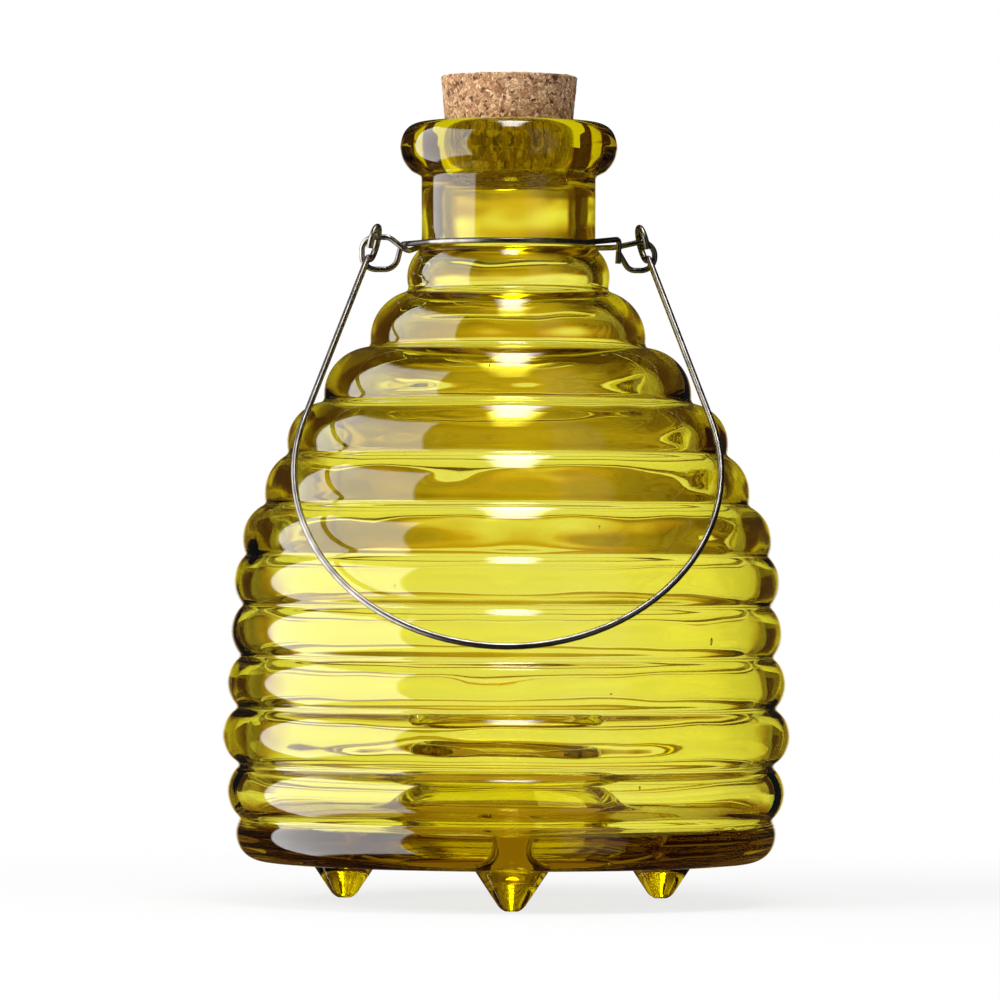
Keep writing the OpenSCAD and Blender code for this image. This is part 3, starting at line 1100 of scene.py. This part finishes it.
class WirePath:
    """The middle line of a bent wire, in millimetres."""

    FEWEST = 3  # Least number of steps in a bend.
    ROUNDNESS = 6  # Bevel resolution of the wire's section.
    CRISP = 50.0  # Angle past which an edge stays crisp.

    def __init__(self, step: float = 6.0) -> None:
        """Starts an empty path.

        Args:
            step: Largest turn between two points of a bend, in degrees.
        """
        self.step = step
        self.points: list[Vector] = []

    def ring(self, middle: Vector, out: Vector, go: Vector, radius: float, turn_by: float) -> None:
        """Adds part of a ring that starts at middle + out * radius.

        Args:
            middle: Middle of the ring.
            out: Direction from the middle to the start.
            go: Direction in which it sets off.
            radius: Radius of the ring.
            turn_by: Angle of the part.
        """
        steps = max(self.FEWEST, math.ceil(turn_by / self.step))
        for k in range(steps + 1):
            a = math.radians(turn_by) * k / steps
            self.points.append(middle + radius * (math.cos(a) * out + math.sin(a) * go))

    def corners(self, places: list[Vector], bends: list[float]) -> None:
        """Adds a line with rounded corners.

        Args:
            places: The line's start, corners and end.
            bends: Bend radius of each corner.
        """
        self.points.append(places[0])
        for a, b, c, bend in zip(places, places[1:], places[2:], bends):
            go, leave = (b - a).normalized(), (c - b).normalized()
            turned = go.angle(leave)
            inward = (leave - go * leave.dot(go)).normalized()
            middle = b - go * (bend * math.tan(turned / 2)) + inward * bend
            self.ring(middle, -inward, go, bend, math.degrees(turned))
        self.points.append(places[-1])

    def wire(self, name: str, radius: float) -> bpy.types.Object:
        """Draws round wire along the path, with flat cut ends.

        Args:
            name: Name of the wire.
            radius: Radius of the wire.

        Returns:
            The finished mesh.
        """
        kept: list[Vector] = []
        for p in self.points:
            if not kept or (p - kept[-1]).length > SAME_PLACE:
                kept.append(p)
        draw_chain(name, [p * MM for p in kept])
        bpy.ops.object.mode_set(mode="OBJECT")
        bpy.ops.object.convert(target="CURVE")
        curve = bpy.context.object
        curve.data.dimensions = "3D"
        curve.data.bevel_depth = radius * MM
        curve.data.bevel_resolution = self.ROUNDNESS
        curve.data.use_fill_caps = True
        bpy.ops.object.convert(target="MESH")
        obj = bpy.context.object
        obj.name = name
        bpy.ops.object.mode_set(mode="EDIT")
        close_mesh()
        finish_mesh(obj, self.CRISP)
        return obj


@dataclass
class NeckWire:
    """The thin wire round the neck, with an eye each side and a turned-down end.

    A corner of an eye is given by its steps along X from the eye's inner edge, along Y
    from the axis and, where there is a third, along Z from the collar.

    Attributes:
        radius: Radius of the wire.
        collar_r: Radius of the wire's turn round the neck.
        collar_z: Height of that turn.
        front_lift: How far its front lies higher.
        back_lift: How far its back lies higher.
        hug: Half the angle over which the wire lies against the neck.
        hug_far: The same at the back's left.
        level_run: Straight run where the wire leaves the neck.
        slope_bend: Bend after that run.
        eye_in: Inner edge of an eye.
        eye_out: Outer edge of an eye.
        eye_rise: Height of an eye's top above the collar.
        eye_h: Height of an eye.
        eye_lean: How far back an eye's foot stands.
        eye_round: Bend of an eye's corners.
        tail_len: Length of the turned-down end.
        tail_drop: How far its bend lies below the eye's top.
        tail_tip: Corner of its end.
        tail_top: Corner of its bend.
        tail_bend: Radius of its bend.
        left_enter: Corner where the front wire comes to the left eye.
        left_down: Corner at the eye's foot.
        left_over: Corner where the eye closes at its top.
        left_leave: Corner where the wire leaves the eye for the back.
        left_bends: Bends of the first and the last two of those corners.
        right_enter: Corner where the back wire comes to the right eye.
        right_under: Step along X of the corner at the eye's foot.
        right_end: End of the wire.
        right_bends: Bends of the first and the last corner of that eye.
    """

    radius: float = 0.7
    collar_r: float = 22.4
    collar_z: float = 161.576
    front_lift: float = 0.5
    back_lift: float = 0.2
    hug: float = 54.0
    hug_far: float = 70.0
    level_run: float = 1.5
    slope_bend: float = 8.0
    eye_in: float = 27.4
    eye_out: float = 36.1
    eye_rise: float = 2.1
    eye_h: float = 7.8
    eye_lean: float = 2.0
    eye_round: float = 3.4
    tail_len: float = 6.0
    tail_drop: float = 0.3
    tail_tip: Pair = (-0.4, -1.5)
    tail_top: Pair = (-0.1, -1.7)
    tail_bend: float = 1.1
    left_enter: Pair = (1.0, 1.7)
    left_down: Pair = (-0.5, 1.7)
    left_over: Pair = (-2.0, -1.3)
    left_leave: Triple = (2.5, -2.0, -1.4)
    left_bends: Triple = (1.4, 3.0, 2.0)
    right_enter: Triple = (-1.0, 0.9, -0.1)
    right_under: float = 2.4
    right_end: Triple = (-0.1, 0.5, -1.6)
    right_bends: Pair = (3.0, 2.6)

    def _on_neck(self, angle: float, z: float, past: float = 0.0) -> Vector:
        """Finds a point of the wire on the neck.

        Args:
            angle: Place round the neck.
            z: Height.
            past: How far the point lies past that place, straight along the wire's way.

        Returns:
            The point.
        """
        a = math.radians(angle)
        r = self.collar_r
        x, y = r * math.cos(a) - past * math.sin(a), r * math.sin(a) + past * math.cos(a)
        return Vector((x, y, z))

    def _by_eye(self, side: int, steps: tuple[float, ...], z: float) -> Vector:
        """Returns a corner set off from the inner edge of the eye on one side."""
        return Vector((side * self.eye_in + steps[0], steps[1], z))

    def _round_neck(self, path: WirePath, start: float, end: float, z: float) -> None:
        """Adds the wire that lies against the neck between two angles.

        Args:
            path: Path to add to.
            start: Angle at which it begins.
            end: Angle at which it ends.
            z: Height.
        """
        way = 1 if end > start else -1
        a = math.radians(start)
        out = Vector((math.cos(a), math.sin(a), 0))
        go = way * Vector((-math.sin(a), math.cos(a), 0))
        path.ring(Vector((0, 0, z)), out, go, self.collar_r, abs(end - start))

    def build(self) -> bpy.types.Object:
        """Builds the neck wire.

        Returns:
            The finished mesh.
        """
        collar = self.collar_z
        front, back = collar + self.front_lift, collar + self.back_lift
        top = collar + self.eye_rise
        low = top - self.eye_h
        far, run, e = self.eye_out, self.level_run, self.eye_round
        right, left = -90 + self.hug, -90 - self.hug
        back_right, back_left = 90 - self.hug, 90 + self.hug_far
        tail_z = top - self.tail_drop
        path = WirePath()
        path.corners(
            [
                self._by_eye(1, self.tail_tip, tail_z - self.tail_len),
                self._by_eye(1, self.tail_top, tail_z),
                self._on_neck(right, front, run),
                self._on_neck(right, front),
            ],
            [self.tail_bend, self.slope_bend],
        )
        self._round_neck(path, right, left, front)
        enter_bend, over_bend, leave_bend = self.left_bends
        path.corners(
            [
                self._on_neck(left, front),
                self._on_neck(left, front, -run),
                self._by_eye(-1, self.left_enter, front),
                self._by_eye(-1, self.left_down, low),
                Vector((-far, self.eye_lean, low)),
                Vector((-far, 0.0, top)),
                self._by_eye(-1, self.left_over, top),
                self._by_eye(-1, self.left_leave, collar + self.left_leave[2]),
                self._on_neck(back_left, back, run),
                self._on_neck(back_left, back),
            ],
            [self.slope_bend, enter_bend, e, e, e, over_bend, leave_bend, self.slope_bend],
        )
        self._round_neck(path, back_left, back_right, back)
        enter_bend, end_bend = self.right_bends
        path.corners(
            [
                self._on_neck(back_right, back),
                self._on_neck(back_right, back, -run),
                self._by_eye(1, self.right_enter, collar + self.right_enter[2]),
                Vector((far, 0.0, top)),
                Vector((far, self.eye_lean, low)),
                self._by_eye(1, (self.right_under, self.eye_lean), low),
                self._by_eye(1, self.right_end, collar + self.right_end[2]),
            ],
            [self.slope_bend, enter_bend, e, e, end_bend],
        )
        return path.wire("collar_wire", self.radius)

    def dress(self, obj: bpy.types.Object, material: bpy.types.Material) -> None:
        """Gives the wire its material and body, and hides its CAD node.

        Args:
            obj: The neck wire.
            material: Its material.
        """
        obj.data.materials.append(material)
        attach(obj, Body.VESSEL.value)
        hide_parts("neck_wire")


@dataclass
class Bail:
    """The thicker wire handle, with a ring at each end hung on the neck wire's eyes.

    Attributes:
        radius: Radius of the wire.
        half_span: Distance of a ring's middle from the axis.
        pivot_y: Place of the swing's axis along Y.
        pivot_z: Height of the swing's axis.
        reach: Distance from that axis to the foot of the bow.
        bow_r: Radius of the bow.
        ring_r: Radius of a ring.
        ring_turn: Angle of a ring.
        ring_bend: Bend between an arm and its ring.
        ring_link: Straight run between that bend and the ring.
        lean: Angle at which the bail rests, from upright.
        bend_step: Largest turn between two points of a bend.
    """

    radius: float = 0.8
    half_span: float = 33.2
    pivot_y: float = -0.6
    pivot_z: float = 162.276
    reach: float = 119.8
    bow_r: float = 51.4
    ring_r: float = 4.1
    ring_turn: float = 305.0
    ring_bend: float = 1.6
    ring_link: float = 0.3
    lean: float = 34.6706
    bend_step: float = 4.0

    def _end(self, middle: Vector, arm: Vector, back: Vector) -> list[Vector]:
        """Lays out an arm's end: a bend aside, then a ring centred on the arm.

        Args:
            middle: Middle of the ring.
            arm: Direction down the arm.
            back: Direction out of the bail's plane, to the back.

        Returns:
            The middle line of the end, from the arm on.
        """
        both = self.ring_r + self.ring_bend
        reach = math.hypot(both, self.ring_link)
        lead = math.acos(self.ring_bend / reach) - math.atan2(self.ring_link, both)
        top = middle + math.sqrt(reach**2 - self.ring_bend**2) * arm
        go = math.sin(lead) * back - math.cos(lead) * arm
        out = math.sin(lead) * arm + math.cos(lead) * back
        path = WirePath(self.bend_step)
        path.ring(top + self.ring_bend * back, -back, -arm, self.ring_bend, math.degrees(lead))
        path.ring(middle, out, go, self.ring_r, self.ring_turn)
        return path.points

    def build(self) -> bpy.types.Object:
        """Builds the bail.

        Returns:
            The finished mesh.
        """
        tilt = math.radians(self.lean)
        down = Vector((0, -math.sin(tilt), -math.cos(tilt)))
        back = Vector((0, math.cos(tilt), -math.sin(tilt)))
        across = Vector((1, 0, 0))
        pivot = Vector((0, self.pivot_y, self.pivot_z))
        span, bow_s = self.half_span, self.reach - self.bow_r
        spread = math.asin(self.bow_r / math.hypot(span, bow_s)) - math.atan2(span, bow_s)
        sides = (-1, 1)
        arms = {s: s * math.sin(spread) * across + math.cos(spread) * down for s in sides}
        ends = {s: self._end(pivot + s * span * across, arms[s], back) for s in sides}
        path = WirePath(self.bend_step)
        path.points = ends[1][::-1]
        first = math.cos(spread) * across - math.sin(spread) * down
        bow_turn = 180 + 2 * math.degrees(spread)
        path.ring(pivot + bow_s * down, first, arms[1], self.bow_r, bow_turn)
        path.points += ends[-1]
        return path.wire("bail_wire", self.radius)

    def dress(self, obj: bpy.types.Object, material: bpy.types.Material) -> None:
        """Gives the bail its material and body, and hides its CAD node.

        Args:
            obj: The bail.
            material: Its material.
        """
        obj.data.materials.append(material)
        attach(obj, Body.BAIL.value)
        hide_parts("bail_handle")


# Stage


@dataclass(frozen=True)
class Lamp:
    """A square soft lamp.

    Attributes:
        place: Where it stands.
        power: Its power in watts.
        size: Width of its face.
    """

    place: Triple
    power: float
    size: float

    def add(self, aim: Vector) -> None:
        """Adds the lamp, which neither glass nor metal shows.

        Args:
            aim: Place that it is turned to.
        """
        bpy.ops.object.light_add(type="AREA", location=self.place)
        lamp = bpy.context.object
        lamp.data.energy = self.power
        lamp.data.size = self.size
        way = aim - Vector(self.place)
        lamp.rotation_euler = way.to_track_quat("-Z", "Y").to_euler()
        lamp.visible_glossy = False
        lamp.visible_transmission = False


@dataclass
class Studio:
    """Camera, floor, lamps and the soft boxes that glass and metal mirror.

    A pair of edges is where a share is 0 and where it is 1. A window is its lower and
    upper limit and the width of its fade. "Through" means seen by rays through the glass.

    Attributes:
        camera_place: Where the camera stands.
        camera_pitch: How far it looks up.
        camera_roll: How far it is rolled.
        lens: Its focal length.
        sensor: Width of its sensor.
        nearest: Nearest distance that it shows.
        floor_size: Width of the floor.
        floor_grey: How pale the floor is under the lamps.
        floor_open: Distances over which the floor turns fully white to the camera.
        floor_white: Share of white nearer than that, which leaves the shadow.
        painted_shadow_edges: Edges of the white floor through the glass; nearer in, the
            floor is painted a warm dark, a painted shadow round the object.
        painted_caustic_edges: Edges of the painted golden glow below the base, through
            the glass, a painted pool of the light that falls through the glass.
        painted_caustic_share: Share of white in that painted glow.
        fill: Strength of the surroundings as light on matt surfaces.
        fill_inside: The same for rays that meet glass or metal after a matt surface.
        white: Strength of the background to the camera.
        backdrop: Strength of the background in glass and metal.
        dark: Strength of the dark sides in reflections.
        warm_dark: Colour of the dark sides through the glass, and of the painted shadow on
        the floor seen through it.
        warm_high: Colour of the glow above the card.
        edge_tint: Powers that turn the edge of white to gold, for red, green and blue.
        box_left: Strength of the left soft box.
        left_turn: Window of that box round the axis, from the front to the left.
        left_rise: Window of its height.
        right_fill: Strength of the weak strip at the right front.
        right_turn: Window of that strip round the axis.
        right_rise: Window of its height.
        box_inside: Share of the box and the strip through the glass.
        box_top: Strength of the top soft box.
        top_across: Window of that box across, in the X of the direction.
        top_tilt: Window of its tilt, from the front upwards.
        top_inside: Share of the top box through the glass.
        behind_side: Edges of the white behind, away from straight behind.
        behind_rise: Window of its height.
        around_side: Edges of the white at the sides and in front, through the glass.
        around_rise: Edges of its height.
        high_rise: Edges of the warm glow above that.
        card_size: Width of the card.
        card_back: How far behind the axis the card stands.
        card_mid: Height of the card's middle.
        card_edge: Edges of the card's white across.
        card_top: Edges of the card's white upwards.
        card_shift: How far that white is shifted to the right.
        high_edge: Edges of the glow above across.
        high_patch: Fineness of the glow's patches.
        patch_edge: Noise levels between which a patch brightens.
        patch_least: Brightness between the patches.
        high_right: Edges of the glow's fade to the right.
        high_least: Share of the glow that is left there.
        lamps: Lamps that light the matt surfaces.
        aim: Place that the lamps are turned to.
        bounces: Most bounces of a ray, also through glass.
        mirror_bounces: Most mirrorings of a ray.
    """

    camera_place: Triple = (-0.001725, -1.676, 0.0818)
    camera_pitch: float = 0.59
    camera_roll: float = -0.25
    lens: float = 244.8
    sensor: float = 36.0
    nearest: float = 0.01
    floor_size: float = 8.0
    floor_grey: float = 0.8
    floor_open: Pair = (0.08, 0.36)
    floor_white: float = 0.78
    painted_shadow_edges: Pair = (0.04, 0.2)
    painted_caustic_edges: Pair = (0.075, 0.055)
    painted_caustic_share: float = 0.38
    fill: float = 0.42
    fill_inside: float = 0.8
    white: float = 1.0
    backdrop: float = 1.0
    dark: float = 0.02
    warm_dark: Tint = (0.085, 0.036, 0.003)
    warm_high: Tint = (0.46, 0.345, 0.03)
    edge_tint: Tint = (1.0, 1.5, 3.0)
    box_left: float = 5.0
    left_turn: Triple = (45, 118, 3)
    left_rise: Triple = (-42, 44, 6)
    right_fill: float = 0.3
    right_turn: Triple = (-52, -24, 6)
    right_rise: Triple = (-40, 50, 10)
    box_inside: float = 0.17
    box_top: float = 14.0
    top_across: Triple = (-0.07, 0.135, 0.11)
    top_tilt: Triple = (63, 109, 6)
    top_inside: float = 0.9
    behind_side: Pair = (20, 10)
    behind_rise: Triple = (-7, 4, 7)
    around_side: Pair = (68, 84)
    around_rise: Pair = (18, 6)
    high_rise: Pair = (0, 10)
    card_size: float = 2.0
    card_back: float = 0.6
    card_mid: float = 0.99
    card_edge: Pair = (0.27, 0.17)
    card_top: Pair = (0.228, 0.172)
    card_shift: float = 0.04
    high_edge: Pair = (0.36, 0.03)
    high_patch: float = 7.0
    patch_edge: Pair = (0.36, 0.64)
    patch_least: float = 0.4
    high_right: Pair = (0.1, -0.03)
    high_least: float = 0.25
    lamps: tuple[Lamp, ...] = (
        Lamp((-0.9, -0.7, 0.55), 16.0, 0.8),
        Lamp((0.1, -0.5, 1.3), 8.0, 0.6),
    )
    aim: Triple = (0, 0, 0.1)
    bounces: int = 32
    mirror_bounces: int = 16

    def camera(self) -> None:
        """Adds the camera at the photograph's viewing angle."""
        pitch, roll = radians((90.0 + self.camera_pitch, self.camera_roll))
        bpy.ops.object.camera_add(location=self.camera_place, rotation=(pitch, roll, 0.0))
        cam = bpy.context.object
        cam.data.lens = self.lens
        cam.data.sensor_width = self.sensor
        cam.data.clip_start = self.nearest
        bpy.context.scene.camera = cam

    def floor(self) -> None:
        """Adds the pale floor: white to the camera with the object's own soft shadow; through the
        glass, a painted shadow round the object and a painted golden glow under the base.
        """
        clear_selection()
        bpy.ops.mesh.primitive_plane_add(size=self.floor_size)
        obj = bpy.context.object
        obj.name = "floor"
        material, net = new_material("pale_floor")
        out = net.add("ShaderNodeOutputMaterial")
        matt = net.add("ShaderNodeBsdfDiffuse", Color=(*(self.floor_grey,) * 3, 1.0))
        glow = net.add("ShaderNodeEmission", Color=(1.0, 1.0, 1.0, 1.0), Strength=self.white)
        path = net.add("ShaderNodeLightPath")
        coords = net.add("ShaderNodeTexCoord")
        length = net.add("ShaderNodeVectorMath", operation="LENGTH")
        net.join(coords.outputs["Object"], length.inputs[0])
        away = length.outputs["Value"]
        share = net.between(net.step(away, *self.floor_open), self.floor_white, 1.0)
        mix = net.add("ShaderNodeMixShader")
        net.join(net.times(share, path.outputs["Is Camera Ray"]), mix.inputs["Fac"])
        net.join(matt.outputs["BSDF"], mix.inputs[1])
        net.join(glow.outputs["Emission"], mix.inputs[2])
        # Seen through the glass the floor is painted: a warm dark painted shadow near the object
        # that turns white further out, and a painted golden pool of light under the base.
        past_painted_shadow = net.step(away, *self.painted_shadow_edges)
        under = net.times(net.step(away, *self.painted_caustic_edges), self.painted_caustic_share)
        seen = self.shade(net, net.math("MAXIMUM", past_painted_shadow, under))
        through = net.add("ShaderNodeMixShader")
        net.join(path.outputs["Is Transmission Ray"], through.inputs["Fac"])
        net.join(mix.outputs["Shader"], through.inputs[1])
        net.join(seen, through.inputs[2])
        net.join(through.outputs["Shader"], out.inputs["Surface"])
        obj.data.materials.append(material)
        obj.visible_glossy = False

    def shade(self, net: NodeSketch, white: bpy.types.NodeSocket) -> bpy.types.NodeSocket:
        """Adds a glow that goes from the warm dark to white, by way of gold.

        Args:
            net: The node sketch to add to.
            white: Share of white, from 0 to 1.

        Returns:
            The glow's shader socket.
        """
        tint = net.add("ShaderNodeCombineColor")
        for name, low, edge in zip(("Red", "Green", "Blue"), self.warm_dark, self.edge_tint):
            part = net.between(net.math("POWER", white, edge), low, self.backdrop)
            net.join(part, tint.inputs[name])
        glow = net.add("ShaderNodeEmission")
        net.join(tint.outputs["Color"], glow.inputs["Color"])
        return glow.outputs["Emission"]

    def card(self) -> None:
        """Adds the white card behind the glass, which only rays through the glass meet."""
        clear_selection()
        bpy.ops.mesh.primitive_plane_add(size=self.card_size)
        obj = bpy.context.object
        obj.name = "card"
        bpy.ops.object.mode_set(mode="EDIT")
        bpy.ops.mesh.select_all(action="SELECT")
        bpy.ops.transform.rotate(
            value=math.pi / 2, orient_axis="X", center_override=(0.0, 0.0, 0.0)
        )
        bpy.ops.transform.translate(value=(0.0, self.card_back, self.card_mid))
        bpy.ops.object.mode_set(mode="OBJECT")
        material, net = new_material("white_card")
        out = net.add("ShaderNodeOutputMaterial")
        coords = net.add("ShaderNodeTexCoord")
        axes = net.add("ShaderNodeSeparateXYZ")
        net.join(coords.outputs["Object"], axes.inputs["Vector"])
        x, up = axes.outputs["X"], axes.outputs["Z"]
        across = net.math("ABSOLUTE", net.math("SUBTRACT", x, self.card_shift))
        white = net.times(net.step(across, *self.card_edge), net.step(up, *self.card_top))
        low = self.shade(net, white)
        patch = net.add("ShaderNodeTexNoise", Scale=self.high_patch, Detail=2.0)
        net.join(coords.outputs["Object"], patch.inputs["Vector"])
        patches = net.step(patch.outputs["Fac"], *self.patch_edge)
        above = net.times(net.step(across, *self.high_edge), net.step(up, *self.card_top[::-1]))
        above = net.times(above, net.math("ADD", patches, self.patch_least))
        fade = net.step(x, *self.high_right)
        above = net.times(above, net.between(fade, self.high_least, 1.0))
        extra = net.add("ShaderNodeEmission", Color=(*self.warm_high, 1.0))
        net.join(above, extra.inputs["Strength"])
        both = net.add("ShaderNodeAddShader")
        net.join(low, both.inputs[0])
        net.join(extra.outputs["Emission"], both.inputs[1])
        net.join(both.outputs["Shader"], out.inputs["Surface"])
        obj.data.materials.append(material)
        obj.visible_camera = False
        obj.visible_diffuse = False
        obj.visible_glossy = False
        obj.visible_shadow = False

    def world(self) -> None:
        """Makes the surroundings: white behind, dark at the sides, soft boxes left and above."""
        world = bpy.data.worlds.new("studio")
        bpy.context.scene.world = world
        world.use_nodes = True
        net = NodeSketch(world.node_tree)
        out = net.add("ShaderNodeOutputWorld")
        coords = net.add("ShaderNodeTexCoord")
        axes = net.add("ShaderNodeSeparateXYZ")
        net.join(coords.outputs["Generated"], axes.inputs["Vector"])
        x, y, z = axes.outputs
        front = net.times(y, -1.0)
        left = net.math("ARCTAN2", net.times(x, -1.0), front)
        tilt = net.math("ARCTAN2", z, front)
        side = net.math("ABSOLUTE", net.math("ARCTAN2", x, y))
        rise = net.math("ARCSINE", z)
        path = net.add("ShaderNodeLightPath")
        through = path.outputs["Is Transmission Ray"]

        def patch(turn_window: Triple, rise_window: Triple) -> bpy.types.NodeSocket:
            """Returns the share of a patch of the surroundings, from its two windows."""
            turned = net.window(left, *radians(turn_window))
            return net.times(turned, net.window(rise, *radians(rise_window)))

        behind = net.step(side, *radians(self.behind_side))
        behind = net.times(behind, net.window(rise, *radians(self.behind_rise)))
        beside = net.step(side, *radians(self.around_side))
        around = net.times(beside, net.step(rise, *radians(self.around_rise)))
        back = net.math("MAXIMUM", behind, net.times(around, through))
        box = net.times(patch(self.left_turn, self.left_rise), self.box_left)
        strip = net.times(patch(self.right_turn, self.right_rise), self.right_fill)
        boxes = net.math("ADD", box, strip)
        boxes = net.times(boxes, net.between(through, 1.0, self.box_inside))
        over = net.window(tilt, *radians(self.top_tilt))
        over = net.times(net.window(x, *self.top_across), over)
        inside = net.between(through, 1.0, self.top_inside)
        over = net.times(over, net.times(inside, self.box_top))
        boxes = net.math("ADD", boxes, over)
        matt = net.math("MINIMUM", path.outputs["Diffuse Depth"], 1.0)
        mirror = net.math("MAXIMUM", path.outputs["Is Glossy Ray"], through)
        plain = net.between(path.outputs["Is Camera Ray"], self.fill, self.white)
        plain = net.math("ADD", net.times(mirror, self.fill_inside - self.fill), plain)
        mirror = net.times(mirror, net.math("SUBTRACT", 1.0, matt))
        tint = net.add("ShaderNodeCombineColor")
        high = net.times(net.step(rise, *radians(self.high_rise)), net.times(beside, through))
        channels = zip(("Red", "Green", "Blue"), self.warm_dark, self.warm_high, self.edge_tint)
        for name, warm, warm_high, edge in channels:
            dark = net.between(through, self.dark, warm)
            dark = net.math("ADD", net.times(high, warm_high - warm), dark)
            fringe = net.math("POWER", back, edge)
            glow = net.math("ADD", net.times(fringe, self.backdrop), dark)
            glow = net.math("ADD", glow, boxes)
            level = net.add("ShaderNodeMix", data_type="FLOAT")
            net.join(mirror, level.inputs["Factor"])
            net.join(plain, level.inputs["A"])
            net.join(glow, level.inputs["B"])
            net.join(level.outputs["Result"], tint.inputs[name])
        shine = net.add("ShaderNodeBackground")
        net.join(tint.outputs["Color"], shine.inputs["Color"])
        net.join(shine.outputs["Background"], out.inputs["Surface"])

    def build(self) -> None:
        """Sets up the whole stage."""
        scene = bpy.context.scene
        scene.view_settings.view_transform = "Standard"
        scene.cycles.max_bounces = self.bounces
        scene.cycles.transmission_bounces = self.bounces
        scene.cycles.glossy_bounces = self.mirror_bounces
        self.camera()
        self.floor()
        self.card()
        self.world()
        for lamp in self.lamps:
            lamp.add(Vector(self.aim))


def main() -> None:
    """Builds and dresses every piece, logging its face count, then builds the stage."""
    logging.basicConfig(level=logging.INFO, format="%(name)s: %(message)s")
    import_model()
    steel = SteelFinish().make()
    for maker, finish in (
        (Vessel(), GlassFinish()),
        (Cork(), CorkFinish()),
        (NeckWire(), steel),
        (Bail(), steel),
    ):
        piece = maker.build()
        maker.dress(piece, finish)
        LOG.info("%s: %d faces", piece.name, len(piece.data.polygons))
    Studio().build()


if __name__ == "__main__":
    main()
